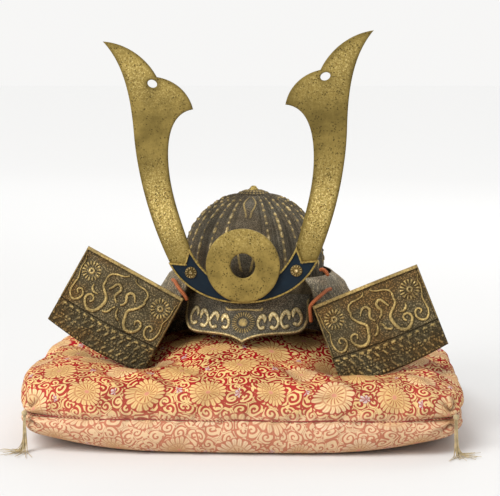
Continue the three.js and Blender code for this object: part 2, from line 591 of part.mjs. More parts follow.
/** A grid over the top, rings down the side, and a flat underside closed at its middle. */
function cushionGeometry() {
  const shares = (count) => span(count, -1, 1).map((t) => mix(t, Math.sin((t * Math.PI) / 2), 0.35));
  const [as, bs] = [shares(20), shares(16)];
  const [right, back] = [as.length - 1, bs.length - 1];
  const positions = [];
  const triangles = [];
  for (const b of bs) {
    for (const a of as) {
      const [x, y] = cushionPlace(a, b, CUSHION.shoulderInset);
      positions.push(x, y, cushionTop(x, y));
    }
  }
  const quad = (p, q, r, s) => triangles.push(p, q, r, p, r, s);
  const id = (i, j) => j * as.length + i;
  for (let j = 0; j < back; j++) {
    for (let i = 0; i < right; i++) quad(id(i, j), id(i + 1, j), id(i + 1, j + 1), id(i, j + 1));
  }
  const round = [
    ...as.slice(1).map((_, i) => [i + 1, 0]), ...bs.slice(1).map((_, j) => [right, j + 1]),
    ...as.slice(1).map((_, i) => [right - 1 - i, back]), ...bs.slice(1).map((_, j) => [0, back - 1 - j]),
  ];
  let above = round.map(([i, j]) => id(i, j));
  for (const { z, inset } of CUSHION_SIDE) {
    const first = positions.length / 3;
    for (const [i, j] of round) positions.push(...cushionPlace(as[i], bs[j], inset), z);
    const ring = round.map((_, k) => first + k);
    ring.forEach((low, k) => {
      const next = (k + 1) % ring.length;
      quad(above[k], low, ring[next], above[next]);
    });
    above = ring;
  }
  const middle = positions.length / 3;
  positions.push(...cushionPlace(0, 0), 0);
  above.forEach((corner, k) => triangles.push(corner, middle, above[(k + 1) % above.length]));
  return closed(positions, triangles);
}

// ---------------------------------------------------------------- tassels
/** A knot with strands that fall from the cushion's corner and end on the ground. */
function tasselGeometry(outward) {
  const head = new THREE.SphereGeometry(TASSEL.head, 6, 4);
  head.rotateX(Math.PI / 2);
  const parts = [head];
  const fall = TASSEL.knotZ - TASSEL.strandRadius - GAP;
  for (let k = 0; k < TASSEL.strands; k++) {
    const fan = rad((k - (TASSEL.strands - 1) / 2) * 32);
    const way = new THREE.Vector3(Math.cos(outward + fan), Math.sin(outward + fan), 0);
    const reach = TASSEL.reach * (1 - 0.2 * (k % 2));
    const route = [[0, 0.05], [0.2, 0.45], [0.42, 0.9], [1, 1]].map(([out, down]) => (
      way.clone().multiplyScalar(out * reach).setZ(-down * fall)));
    parts.push(ridge(route, (t) => TASSEL.strandRadius * (1.2 - 0.3 * t), 3, 3, () => way.clone().setZ(0.6)));
  }
  return fuse(parts);
}

// ---------------------------------------------------------------- the whole
const helmet = new THREE.Group();

helmet.add(piece('bowl', bowlGeometry(), 'bronze'));
helmet.add(piece('crown_ring', crownRingGeometry(), 'antique'));
helmet.add(piece('crown_knob', crownKnobGeometry(), 'brass'));
helmet.add(piece('visor', visorGeometry(), 'antique'));

/** A group turned about the front-to-back line at a given height. */
function tilted({ tiltDeg, tiltZ, shiftX }) {
  const outer = new THREE.Group();
  outer.position.set(shiftX, 0, tiltZ);
  outer.rotation.y = rad(tiltDeg);
  const inner = new THREE.Group();
  inner.position.z = -tiltZ;
  outer.add(inner);
  helmet.add(outer);
  return inner;
}

// The neck guard sits a little lower on its left-hand side, where the cushion gives more.
const guard = tilted(GUARD);
guard.add(piece('neck_guard', neckGuardGeometry(), 'sandedBronze'));
const wing = wingGeometry();
guard.add(piece('wing_right', wing, 'antique'));
guard.add(piece('wing_left', mirrorX(wing), 'antique'));

// The crest is plugged in by hand and leans the other way.
const crest = tilted(CREST);
crest.add(piece('crest_disc', crestDiscGeometry(), 'brass'));
crest.add(piece('crest_socket', crestSocketGeometry(), 'enamel'));
for (const [side, sign, turn] of [['right', 1, (g) => g], ['left', -1, mirrorX]]) {
  const horn = piece(`horn_${side}`, turn(hornGeometry()), 'brass');
  if (side === 'left') horn.geometry.rotateY(rad(HORN.leftLeanDeg));
  horn.position.set(sign * HORN_FOOT[0], 0, DISC.z + HORN_FOOT[1] - (side === 'left' ? HORN.leftDeeper : 0));
  crest.add(horn);
  crest.add(piece(`socket_flower_${side}`, turn(socketFlowerGeometry()), 'brass'));
}
for (const [name, route] of Object.entries(LACES)) guard.add(piece(name, laceGeometry(route), 'lacing'));

helmet.add(piece('cushion', cushionGeometry(), 'brocade'));
for (const [b, depth] of [[-1, 'front'], [1, 'back']]) {
  for (const [a, side] of [[-1, 'left'], [1, 'right']]) {
    const outward = Math.atan2(b, a) + yaw;
    const tassel = piece(`tassel_${depth}_${side}`, tasselGeometry(outward), 'thread');
    const [x, y] = cushionPlace(a, b);
    const clear = TASSEL.head + GAP + 0.3;
    tassel.position.set(x + clear * Math.cos(outward), y + clear * Math.sin(outward), TASSEL.knotZ);
    helmet.add(tassel);
  }
}

helmet.position.set(...PLACE);
export default helmet;
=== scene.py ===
"""A cast-metal samurai helmet ornament on a brocade cushion, modelled in code.

Lengths inside the functions are in millimetres about the bowl's own upright axis, with the ground
at zero; as_object() moves them to the frame's origin and turns them into metres.
"""
import math

import bpy
import numpy as np
from bpy.props import FloatProperty, FloatVectorProperty, IntProperty, PointerProperty
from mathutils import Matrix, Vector
from mathutils.geometry import delaunay_2d_cdt


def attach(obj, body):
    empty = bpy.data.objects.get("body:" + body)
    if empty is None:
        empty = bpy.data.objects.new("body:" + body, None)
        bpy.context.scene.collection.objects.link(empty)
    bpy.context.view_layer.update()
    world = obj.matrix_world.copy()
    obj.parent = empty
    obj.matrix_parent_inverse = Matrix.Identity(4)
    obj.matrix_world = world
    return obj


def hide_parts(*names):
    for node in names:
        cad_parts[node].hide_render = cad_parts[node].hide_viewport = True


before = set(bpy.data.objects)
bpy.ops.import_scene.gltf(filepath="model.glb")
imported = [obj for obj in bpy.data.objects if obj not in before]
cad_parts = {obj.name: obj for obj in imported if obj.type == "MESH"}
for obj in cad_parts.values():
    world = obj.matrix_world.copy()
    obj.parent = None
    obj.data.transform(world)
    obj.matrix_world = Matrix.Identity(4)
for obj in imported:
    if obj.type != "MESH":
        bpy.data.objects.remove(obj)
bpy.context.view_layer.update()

bl_info = {
    "name": "Helmet Ornament",
    "version": (1, 0, 0),
    "blender": (4, 5, 0),
    "location": "View3D > Sidebar > Helmet",
    "description": "Builds a samurai helmet ornament and its cushion",
    "category": "Add Mesh",
}

MM = 0.001
TAU = 2 * math.pi
AXIS = np.array([2.0, 19.5, 0.0])  # the bowl's axis in the frame
GUARD_TILT = (2.4, 60.0, 0.8)  # degrees about the front-to-back line, its height, sideways shift
CREST_TILT = (-1.9, 80.0, 0.6)
SEED = 20


# ------------------------------------------------------------------ sizes and colours
def length(name, description, millimetres):
    return FloatProperty(name=name, description=description, default=millimetres * MM, unit="LENGTH",
                         min=0.0, max=0.3)


def colour(name, description, *rgb):
    return FloatVectorProperty(name=name, description=description, default=rgb, subtype="COLOR",
                               size=3, min=0.0, max=1.0)


class BowlSizes(bpy.types.PropertyGroup):
    radius: length("Radius", "Outer radius of the round bowl", 45.8)
    wall: length("Wall", "Thickness of the bowl", 2.2)
    rib_height: length("Rib height", "How far the ribs stand off the bowl", 1.1)
    rivet: length("Rivet", "Radius of the rivet heads on the ribs", 0.95)
    ribs: IntProperty(name="Ribs", description="Ribs round the bowl", default=28, min=8, max=72)


class PlateSizes(bpy.types.PropertyGroup):
    relief: length("Relief", "Height of the cast scrolls", 0.9)
    rim: length("Rim", "Height of the raised rims", 0.8)
    horn_wall: length("Horn thickness", "Thickness of the horns", 1.7)
    disc_radius: length("Disc radius", "Outer radius of the crest disc", 23.4)
    lace_radius: length("Lace radius", "Radius of the lacing cord", 1.2)


class CushionSizes(bpy.types.PropertyGroup):
    half_width: length("Half width", "From the middle to a corner, sideways", 131.0)
    half_depth: length("Half depth", "From the middle to a corner, front to back", 94.0)
    top: length("Thickness", "Height of the unloaded top", 45.0)
    seam: length("Seam height", "Height of the sewn seam round the side", 22.0)
    flower: length("Flower", "Diameter of the woven flowers", 23.0)
    threads: IntProperty(name="Threads", description="Threads in each tassel", default=26, min=6, max=120)


class Colours(bpy.types.PropertyGroup):
    brass: colour("Brass", "Rubbed brass of the horns and the disc", 0.44, 0.318, 0.092)
    brass_dark: colour("Dark brass", "Patina in the brass", 0.15, 0.105, 0.036)
    bronze: colour("Bronze ground", "Dark ground of the cast pieces", 0.10, 0.080, 0.045)
    gold: colour("Rubbed gold", "Worn tops of the cast relief", 0.62, 0.45, 0.17)
    sand: colour("Sandy bronze", "Matt skin of the neck guard", 0.34, 0.30, 0.225)
    navy: colour("Navy", "Dark field of the crest's socket", 0.006, 0.017, 0.030)
    lacing: colour("Lacing", "Braided cord", 0.50, 0.125, 0.032)
    red: colour("Red silk", "Ground of the brocade", 0.36, 0.003, 0.010)
    yellow: colour("Gold silk", "Flowers and scrolls of the brocade", 0.80, 0.54, 0.20)
    thread: colour("Thread", "Tassels", 0.50, 0.385, 0.20)


GROUPS = {"kabuto_bowl": BowlSizes, "kabuto_plates": PlateSizes, "kabuto_cushion": CushionSizes,
          "kabuto_colours": Colours}


def sizes(group):
    """The stored sizes of a group in millimetres, by name; whole numbers stay as they are."""
    stored = getattr(bpy.context.scene, group)
    values = {name: getattr(stored, name) for name in GROUPS[group].__annotations__}
    return {name: value if isinstance(value, int) else value / MM for name, value in values.items()}


# ------------------------------------------------------------------ numbers
def mix(a, b, t):
    return a + (b - a) * t


def clip01(t):
    return np.clip(t, 0, 1)


def ease(t):
    """Rises from 0 to 1 with level ends."""
    s = clip01(t)
    return s * s * (3 - 2 * s)


def window(t, start, end, rise, fall=None):
    """Rises from 0 to 1 after the start and falls back to 0 before the end, each over its own width."""
    return ease((t - start) / rise) * ease((end - t) / (fall or rise))


def dome(t):
    """1 at t = 0, falling along a quarter circle to 0 at t = 1."""
    return np.sqrt(clip01(1 - t * t))


def in_repeat(t):
    """Place in a repeat of length 1, from -0.5 to 0.5."""
    return t % 1 - 0.5


def unit(vectors, tiny=0.0):
    vectors = np.asarray(vectors, float)
    return vectors / (np.linalg.norm(vectors, axis=-1, keepdims=True) + tiny)


def around(count):
    """Angles of even steps round a circle."""
    return np.arange(count) / count * TAU


def round_grid(radii, count):
    """Radii down the rows and angles along the columns."""
    return np.meshgrid(radii, around(count), indexing="ij")


def polar(radius, turn, z):
    """Points about the bowl's axis; a turn of 0 is the front."""
    return np.stack(np.broadcast_arrays(radius * np.sin(turn), -radius * np.cos(turn), z), -1)


def smooth_route(points, count):
    """Catmull-Rom curve through the points, with count samples even in the parameter."""
    p = np.asarray(points, float)
    p = np.vstack([2 * p[0] - p[1], p, 2 * p[-1] - p[-2]])
    t = np.linspace(0, len(p) - 3, count)
    k = np.minimum(t.astype(int), len(p) - 4)
    f = (t - k)[:, None]
    a, b, c, d = p[k], p[k + 1], p[k + 2], p[k + 3]
    return 0.5 * (2 * b + (c - a) * f + (2 * a - 5 * b + 4 * c - d) * f ** 2 + (3 * b - a - 3 * c + d) * f ** 3)


def curves(start, *pieces):
    """Cubic Bezier curves end to end, without the last point; each is two handles, an end and a count."""
    a, path = np.array(start, float), []
    for *handles, count in pieces:
        b, c, d = (np.array(p, float) for p in handles)
        t = np.linspace(0, 1, count, endpoint=False)[:, None]
        path.append(a * (1 - t) ** 3 + 3 * b * t * (1 - t) ** 2 + 3 * c * t ** 2 * (1 - t) + d * t ** 3)
        a = d
    return np.vstack(path)


def straight_edges(corners, count):
    """A closed outline with count even steps on every side."""
    corners = np.array(corners, float)
    return np.vstack([curves(a, (mix(a, b, 1 / 3), mix(a, b, 2 / 3), b, count))
                      for a, b in zip(corners, np.roll(corners, -1, 0))])


def distances(line):
    """Distance along a path at each of its points."""
    return np.concatenate([[0], np.cumsum(np.linalg.norm(np.diff(line, axis=0), axis=1))])


def segment_share(x, y, a, b):
    """Share along the segment a to b of the nearest point, and the squared distance to it."""
    (dx, dy) = b - a
    t = clip01(((x - a[0]) * dx + (y - a[1]) * dy) / (dx * dx + dy * dy + 1e-9))
    return t, (x - a[0] - t * dx) ** 2 + (y - a[1] - t * dy) ** 2


def stroke(x, y, route, radii):
    """A rounded ridge, 1 high on a smooth route and 0 at its radius; below 0 it falls on, to -1 at 1.6 of it."""
    line = smooth_route(route, 6 * len(route))
    widths = np.interp(np.linspace(0, 1, len(line)), np.linspace(0, 1, len(radii)), radii)
    reach = 1.6 * max(radii)
    low, high = line.min(0) - reach, line.max(0) + reach
    near = (x > low[0]) & (x < high[0]) & (y > low[1]) & (y < high[1])
    px, py = x[near], y[near]
    best = np.full_like(px, -9.0)
    for a, b, ra, rb in zip(line[:-1], line[1:], widths[:-1], widths[1:]):
        t, square = segment_share(px, py, a, b)
        best = np.maximum(best, 1 - square / mix(ra, rb, t) ** 2)
    raised = np.full_like(x, -1.0)
    raised[near] = np.where(best > 0, np.sqrt(clip01(best)), np.maximum(best / 1.56, -1))
    return raised


def highest_stroke(x, y, routes):
    """The highest of several strokes, and the darkness of the ground close round them."""
    ridges = np.maximum.reduce([stroke(x, y, route, radii) for route, radii in routes])
    return np.maximum(ridges, 0), clip01(1 + ridges) * (ridges <= 0.25)


def rosette(x, y, centre, radius, petals, hole=0.0):
    """A flower, 1 high: rounded petals from 0.55 of the radius outwards, round a domed boss that may have a hole."""
    dx, dy = x - centre[0], y - centre[1]
    r, turn = np.hypot(dx, dy) / radius, np.arctan2(dy, dx)
    across = np.abs(in_repeat(turn * petals / TAU)) * 2
    wedge = dome((r - 0.78) / 0.25) * dome(across / (0.34 + 0.34 * r))
    boss = dome(r / 0.36) - 1.3 * dome(r / max(hole / radius, 1e-3)) * (hole > 0)
    return np.clip(np.maximum(0.85 * wedge, boss), -0.3, 1)


def tilted(points, tilt):
    """Points turned about the front-to-back line at a height, then shifted sideways."""
    degrees, height, shift = tilt
    c, s = math.cos(math.radians(degrees)), math.sin(math.radians(degrees))
    x, y, z = points[..., 0], points[..., 1], points[..., 2] - height
    return np.stack([x * c + z * s + shift, y, z * c - x * s + height], -1)


def mirrored(points):
    return points * np.array([-1.0, 1.0, 1.0])


# ------------------------------------------------------------------ meshes
def grid_quads(rows, columns, wrap=False, first=0):
    """Quads of a grid numbered row by row; wrap joins the last column to the first."""
    j, i = np.meshgrid(np.arange(rows - 1), np.arange(columns if wrap else columns - 1), indexing="ij")
    k = (i + 1) % columns
    quads = np.stack([j * columns + i, j * columns + k, (j + 1) * columns + k, (j + 1) * columns + i], -1)
    return quads.reshape(-1, 4) + first


def fan(loop, tip):
    """Triangles between a closed loop of point numbers and one more point."""
    return np.stack([loop, np.roll(loop, -1), np.full(len(loop), tip)], -1)


def linked(name, mesh):
    piece = bpy.data.objects.new(name, mesh)
    bpy.context.scene.collection.objects.link(piece)
    return piece


def add_values(mesh, title, values, kind="FLOAT", domain="POINT"):
    """An attribute on the mesh with one value for each point or edge."""
    layer = mesh.attributes.new(title, kind, domain)
    layer.data.foreach_set("value", np.ascontiguousarray(values, dtype=np.float32).ravel())


def as_object(name, points, quads, triangles=None, values=None, finish=None, uv=None, smooth=38.0):
    """A closed mesh from arrays, turned so that its faces point out, with one value array per attribute."""
    points = np.asarray(points, float).reshape(-1, 3)
    triangles = np.zeros((0, 3), int) if triangles is None else triangles
    every = np.vstack([quads[:, [0, 1, 2]], quads[:, [0, 2, 3]], triangles])
    a, b, c = (points[every[:, k]] - points.mean(0) for k in range(3))
    if np.einsum("ij,ij->i", a, np.cross(b, c)).sum() < 0:
        quads, triangles = quads[:, ::-1], triangles[:, ::-1]
        uv = None if uv is None else uv[:, ::-1]
    mesh = bpy.data.meshes.new(name)
    mesh.from_pydata(((points + AXIS) * MM).tolist(), [], quads.tolist() + triangles.tolist())
    for title, value in (values or {}).items():
        add_values(mesh, title, value)
    if uv is not None:
        corners = np.concatenate([uv.reshape(-1, 2), np.zeros((3 * len(triangles), 2))])
        mesh.uv_layers.new(name="weave").data.foreach_set("uv", corners.astype(np.float32).ravel())
    mesh.update()
    mesh.shade_smooth()
    piece = linked(name, mesh)
    if smooth:
        mesh.set_sharp_from_angle(angle=math.radians(smooth))
    if finish:
        mesh.materials.append(finish)
    return piece


def round_body(name, rings, values=None, **how):
    """A closed body from rings, an array of rings x columns x 3, with a pole at each end."""
    count, columns = rings.shape[:2]
    points = np.vstack([rings.reshape(-1, 3), rings[0].mean(0)[None], rings[-1].mean(0)[None]])
    ring = np.arange(columns)
    caps = np.vstack([fan(ring[::-1], count * columns), fan((count - 1) * columns + ring, count * columns + 1)])
    values = {title: np.concatenate([v.ravel(), [v[0].mean(), v[-1].mean()]])
              for title, v in (values or {}).items()}
    return as_object(name, points, grid_quads(count, columns, wrap=True), caps, values, **how)


def grid_border(rows, columns):
    """Point numbers once round a grid."""
    i, j = np.arange(columns), np.arange(rows)
    return np.concatenate([i[:-1], j[:-1] * columns + columns - 1, (rows - 1) * columns + i[:0:-1],
                           j[:0:-1] * columns])


def slab(name, front, back, values, **how):
    """A closed slab between two grids of the same shape, joined round their edges."""
    rows, columns = front.shape[:2]
    face, behind = grid_quads(rows, columns), rows * columns
    loop = grid_border(rows, columns)
    ahead = np.roll(loop, -1)
    side = np.stack([ahead, loop, loop + behind, ahead + behind], -1)
    values = {title: np.concatenate([v.ravel(), np.zeros(behind)]) for title, v in values.items()}
    return as_object(name, np.vstack([front.reshape(-1, 3), back.reshape(-1, 3)]),
                     np.vstack([face, face[:, ::-1] + behind, side]), None, values, **how)


def ring_body(name, sections, values, **how):
    """A closed ring from cross sections, an array of places round it x points of the section x 3."""
    places, count = sections.shape[:2]
    ring = np.arange(count)
    last, ahead = (places - 1) * count + ring, np.roll(ring, -1)
    join = np.stack([last, np.roll(last, -1), ahead, ring], -1)
    return as_object(name, sections, np.vstack([grid_quads(places, count, wrap=True), join]), None, values, **how)


def path_frames(along, lean=(0.02, 0.03, 1.0)):
    """Unit vectors sideways and upwards across a path, from its direction and a near upright."""
    along = unit(along)
    side = unit(np.cross(along, lean))
    return side, np.cross(side, along)


def tube(line, side, up, radius, turn):
    """Rings of points round a path, from its frames, at a radius for each angle."""
    return (line[..., None, :] + side[..., None, :] * (radius * np.cos(turn))[..., None]
            + up[..., None, :] * (radius * np.sin(turn))[..., None])


def inside(x, y, loops):
    """Even-odd test of points against closed outlines."""
    hit = np.zeros(x.shape, bool)
    for loop in loops:
        for (ax, ay), (bx, by) in zip(loop, np.roll(loop, -1, 0)):
            if ay != by:
                hit ^= ((ay > y) != (by > y)) & (x < (bx - ax) * (y - ay) / (by - ay) + ax)
    return hit


def edge_distance(x, y, loops):
    nearest = np.full(x.shape, 1e9)
    for loop in loops:
        for a, b in zip(loop, np.roll(loop, -1, 0)):
            nearest = np.minimum(nearest, segment_share(x, y, a, b)[1])
    return np.sqrt(nearest)


def flat_plate(name, loops, place, profile, steps, thickness, pitch=1.7, values=None, **how):
    """A plate with a bevelled front from flat outlines.

    The front's depth is profile(distance from the outline); steps are the distances at which the
    profile bends. place(x, y, depth) puts flat points in space. values(x, y, distance) gives attributes.
    """
    def kept(points, distance):
        x, y = points.T
        return points[inside(x, y, loops) & (edge_distance(x, y, loops) > distance)]

    fence, edges, begin = np.vstack(loops), [], 0
    flat = [fence]
    for loop in loops:
        edges += [(begin + k, begin + (k + 1) % len(loop)) for k in range(len(loop))]
        begin += len(loop)
        normal = unit((np.roll(loop, -1, 0) - np.roll(loop, 1, 0))[:, ::-1] * np.array([-1, 1]))
        flat += [kept(loop + side * step * normal, 0.985 * step) for step in steps for side in (-1, 1)]
    low, high = fence.min(0), fence.max(0)
    gx, gy = np.meshgrid(np.arange(low[0], high[0], pitch), np.arange(low[1], high[1], pitch * 0.87))
    gx = gx + (np.arange(gx.shape[0]) % 2)[:, None] * pitch / 2
    flat.append(kept(np.stack([gx.ravel(), gy.ravel()], -1), max(steps) + 0.4 * pitch))
    out = delaunay_2d_cdt([Vector(p) for p in np.vstack(flat).tolist()], edges, [], 0, 1e-5)
    flat, faces = np.array([p[:] for p in out[0]]), np.array(out[2])
    faces = faces[inside(*flat[faces].mean(1).T, loops)]
    x, y = flat.T
    distance, count = edge_distance(x, y, loops), len(flat)
    front, back = place(x, y, profile(distance)), place(x, y, thickness + 0 * distance)
    directed = faces[:, [[0, 1], [1, 2], [2, 0]]].reshape(-1, 2)
    _, first, uses = np.unique(np.sort(directed, 1), axis=0, return_index=True, return_counts=True)
    rim = directed[first[uses == 1]]
    side = np.stack([rim[:, 1], rim[:, 0], rim[:, 0] + count, rim[:, 1] + count], -1)
    values = {title: np.concatenate([v, v]) for title, v in (values(x, y, distance) if values else {}).items()}
    return as_object(name, np.vstack([front, back]), side, np.vstack([faces, faces[:, ::-1] + count]),
                     values, **how)


# ------------------------------------------------------------------ materials
class Wire:
    """A node's output with arithmetic: an expression on wires adds its Math nodes."""

    def __init__(self, finish, socket):
        self.finish, self.socket = finish, socket

    def _maths(self, operation, *values):
        return self.finish.node("ShaderNodeMath", {"operation": operation}, dict(enumerate(values)))

    def __add__(self, other): return self._maths("ADD", self, other)
    def __radd__(self, other): return self._maths("ADD", other, self)
    def __sub__(self, other): return self._maths("SUBTRACT", self, other)
    def __rsub__(self, other): return self._maths("SUBTRACT", other, self)
    def __mul__(self, other): return self._maths("MULTIPLY", self, other)
    def __rmul__(self, other): return self._maths("MULTIPLY", other, self)
    def __truediv__(self, other): return self._maths("DIVIDE", self, other)
    def __rtruediv__(self, other): return self._maths("DIVIDE", other, self)
    def __mod__(self, other): return self._maths("FLOORED_MODULO", self, other)
    def __abs__(self): return self._maths("ABSOLUTE", self)
    def maths(self, operation, *values): return self._maths(operation, self, *values)
    def sine(self): return self._maths("SINE", self)
    def floor(self): return self._maths("FLOOR", self)
    def most(self, other): return self._maths("MAXIMUM", self, other)

    def between(self, low, high):
        """0 below low, 1 above high, smooth between; reversed when low is the larger."""
        return self.finish.node("ShaderNodeMapRange", {"interpolation_type": "SMOOTHSTEP"},
                                {"Value": self, "From Min": low, "From Max": high})


class Finish:
    """A material on one Principled shader, with short ways to add nodes."""

    def __init__(self, name, **constants):
        self.material = bpy.data.materials.new(name)
        self.material.use_nodes = True
        self.nodes, self.links = self.material.node_tree.nodes, self.material.node_tree.links
        self.shader = self.nodes["Principled BSDF"]
        for title, value in constants.items():
            self.shader.inputs[title.replace("_", " ")].default_value = value

    def node(self, kind, settings=None, sockets=None, output=0):
        """One node: its settings first, then the values or links of its sockets; returns one output."""
        node = self.nodes.new(kind)
        for title, value in (settings or {}).items():
            setattr(node, title, value)
        for title, value in (sockets or {}).items():
            socket = node.inputs[title]
            if isinstance(value, Wire):
                self.links.new(value.socket, socket)
            else:
                socket.default_value = (*value, 1) if socket.type == "RGBA" else value
        return Wire(self, node.outputs[output])

    def vector(self, operation, a, b=(0, 0, 0), output="Vector", **sockets):
        return self.node("ShaderNodeVectorMath", {"operation": operation}, {0: a, 1: b, **sockets}, output)

    def place(self):
        """Object coordinates in millimetres."""
        return self.vector("SCALE", self.node("ShaderNodeTexCoord", output="Object"), Scale=1 / MM)

    def weave(self):
        return self.node("ShaderNodeUVMap", {"uv_map": "weave"})

    def parts(self, vector):
        """The first two parts of a vector."""
        return [self.node("ShaderNodeSeparateXYZ", {}, {0: vector}, output=axis) for axis in (0, 1)]

    def value(self, title):
        return self.node("ShaderNodeAttribute", {"attribute_name": title}, output="Fac")

    def noise(self, at, size, detail=3.0, rough=0.55, output=0):
        """Noise from about 0 to 1 whose lumps measure about size millimetres."""
        return self.node("ShaderNodeTexNoise", {}, {"Vector": at, "Scale": 1 / size, "Detail": detail,
                                                    "Roughness": rough}, output)

    def grains(self, at, size):
        return self.node("ShaderNodeTexVoronoi", {}, {"Vector": at, "Scale": 1 / size}, output="Distance")

    def blend(self, factor, a, b):
        return self.node("ShaderNodeMix", {"data_type": "RGBA"}, {0: factor, 6: a, 7: b}, output=2)

    def coats(self, base, *coats):
        """A base colour with others laid over it, each a mask and a colour."""
        for mask, coat in coats:
            base = self.blend(mask, base, coat)
        return base

    def feed(self, base, height=None, strength=0.5, millimetres=0.1, **sockets):
        """Links the colour, what else varies and a bump of this strength and depth; returns the material."""
        sockets["Base Color"] = base
        if height is not None:
            sockets["Normal"] = self.node("ShaderNodeBump", {}, {"Height": height, "Strength": strength,
                                                                 "Distance": millimetres * MM})
        for title, value in sockets.items():
            self.links.new(value.socket, self.shader.inputs[title])
        return self.material


def toned(rgb, strength):
    return tuple(c * strength for c in rgb)


def shade(name, strength=1.0):
    return toned(getattr(bpy.context.scene.kabuto_colours, name), strength)


def old_brass(name, strength=1.0):
    """Mottled brass: patina clouds, dark pits, rubbed brass under a painted reflection and painted shade at edges."""
    f = Finish(name, Metallic=1.0)
    at = f.place()
    clouds = f.noise(at, 14, 5, 0.62)
    spots = f.noise(at, 1.5, 4, 0.65)
    pits = f.grains(at, 1.5).between(0.18, 0.42)
    polish, edge = f.value("polish"), f.value("edge")
    bright_flecks = polish * spots.between(0.42, 0.58) * f.noise(at, 0.8, 2, 0.6).between(0.40, 0.62)
    rust = f.noise(at, 1.3, 3, 0.6).between(0.60, 0.68) * polish
    base = f.coats(
        f.blend(clouds.between(0.3, 0.72), shade("brass", 0.52 * strength), shade("brass", 0.92 * strength)),
        (spots.between(0.47, 0.30) * 0.62, shade("brass_dark", 1.15)),
        # The bright zone and its flecks: rubbed brass with a painted reflection over it.
        (polish * 0.6, shade("brass", 1.25)),
        (bright_flecks, (1.0, 0.80, 0.33)),
        ((1 - pits) * f.noise(at, 5, 3).between(0.40, 0.58) * 0.9, shade("brass_dark", 0.55)),
        (rust * 0.8, (0.16, 0.06, 0.02)),
        # Painted shade along the edges.
        (edge * (0.15 + 0.3 * clouds), shade("brass_dark", 0.4)))
    height = spots * 0.5 + pits * 0.5 * (0.35 + polish * 0.65) + clouds * 0.4
    return f.feed(base, height, 0.42, 0.22, Roughness=0.46 + 0.22 * (1 - clouds) - 0.14 * bright_flecks)


def cast_bronze(name, ground, grain=0.9, gold=1.0, dust=0.5, rough=0.5, warm=0.25):
    """Cast relief: a dark granular ground, rubbed gold where the relief attribute is high, with a painted highlight on
    top.

    Grains are round cells with dark seams; their tops catch gold in patches where the clouds are thin.
    """
    f = Finish(name, Metallic=1.0)
    at = f.place()
    relief = f.value("relief")
    tops = f.grains(at, grain).between(0.62, 0.12)
    fine = f.grains(at, grain * 0.45).between(0.7, 0.15)
    specks = f.noise(at, 1.1, 3, 0.6)
    clouds = f.noise(at, 12, 4, 0.6)
    drifts = f.noise(at, 3.2, 3, 0.55).between(0.34, 0.62)
    dusted = tops * fine.between(0.1, 0.7) * specks.between(0.42, 0.56) * drifts * dust
    flutes = (f.value("flute") * (2.5 * TAU)).sine()
    worn = relief.between(0.14, 0.62) * (0.45 + 0.55 * specks.between(0.36, 0.54)) * gold
    worn = worn * (0.7 + 0.3 * clouds.between(0.36, 0.6))
    # The highest tops of the relief get a pale painted highlight.
    tone = f.coats(f.blend(clouds.between(0.25, 0.75), shade("gold", 0.62), shade("gold")),
                   (relief.between(0.7, 1.0) * specks.between(0.38, 0.56) * 0.75, (0.95, 0.80, 0.47)))
    umber = tuple(c * k for c, k in zip(ground, (1.1, 0.72, 0.38)))
    base = f.coats(
        f.blend(clouds.between(0.3, 0.7), toned(ground, 0.60), toned(ground, 1.25)),
        (f.noise(at, 26, 2).between(0.42, 0.60) * warm, umber),
        ((1 - tops) * 0.8, toned(ground, 0.14)),
        (dusted, shade("gold", 0.85)),
        (flutes.between(0.0, -0.9) * 0.5, toned(ground, 0.3)),
        (worn, tone),
        (f.value("shadow").between(0.05, 0.95) * 0.88, toned(ground, 0.14)))
    height = tops * (1 - relief * 0.7) + fine * 0.4 + specks * 0.5 + flutes * 0.5
    return f.feed(base, height, 0.85, 0.38, Roughness=rough + 0.14 - 0.2 * worn + 0.12 * specks)


def socket_enamel(name):
    """Navy enamel inside a brass border."""
    f = Finish(name, Specular_IOR_Level=0.16)
    at = f.place()
    border = f.value("relief").between(0.35, 0.6)
    spots = f.noise(at, 1.6, 4, 0.6)
    chips = f.noise(at, 0.9, 3, 0.6).between(0.66, 0.72)
    brass = f.blend(spots.between(0.35, 0.62), shade("brass_dark", 1.5), shade("brass", 1.05))
    base = f.coats(f.blend(f.noise(at, 7, 4), shade("navy", 0.35), shade("navy")),
                   (chips * 0.35, shade("brass", 0.4)), (border, brass))
    return f.feed(base, spots, 0.3, 0.15, Metallic=border, Roughness=0.44 + 0.2 * (1 - spots))


def braided_cord(name):
    """Lacing: a fine diagonal braid along the cord."""
    f = Finish(name, Roughness=0.7)
    along, turn = f.parts(f.weave())
    braid = ((along * 1.1 + turn * 3.0) * TAU).sine().most(((along * 1.1 - turn * 3.0) * TAU).sine())
    fuzz = f.noise(f.place(), 0.25, 3)
    # The braid's grooves are darkened with painted shade.
    base = f.coats(f.blend(braid.between(-0.6, 0.9), shade("lacing", 0.3), shade("lacing", 1.15)),
                   (fuzz.between(0.45, 0.75) * 0.35, (0.70, 0.34, 0.12)))
    return f.feed(base, braid + fuzz * 0.6, 0.8, 0.25)


def tassel_thread(name):
    f = Finish(name, Roughness=0.75, Sheen_Weight=0.3)
    tone = f.noise(f.place(), 3.0, 3).between(0.3, 0.7)
    base = f.blend(tone, shade("thread", 0.7), shade("thread", 1.1))
    return f.feed(base, f.noise(f.place(), 0.3, 2), 0.5, 0.1)


def seam_thread(name):
    """Whip stitches that alternate between red and gold."""
    f = Finish(name, Roughness=0.65)
    patches = f.noise(f.place(), 9, 2).between(0.45, 0.55)
    base = f.blend(f.value("stitch").between(0.4, 0.8) * patches * 0.8, (0.24, 0.025, 0.018), (0.60, 0.38, 0.18))
    return f.feed(base, f.noise(f.place(), 0.3, 2), 0.5, 0.15)


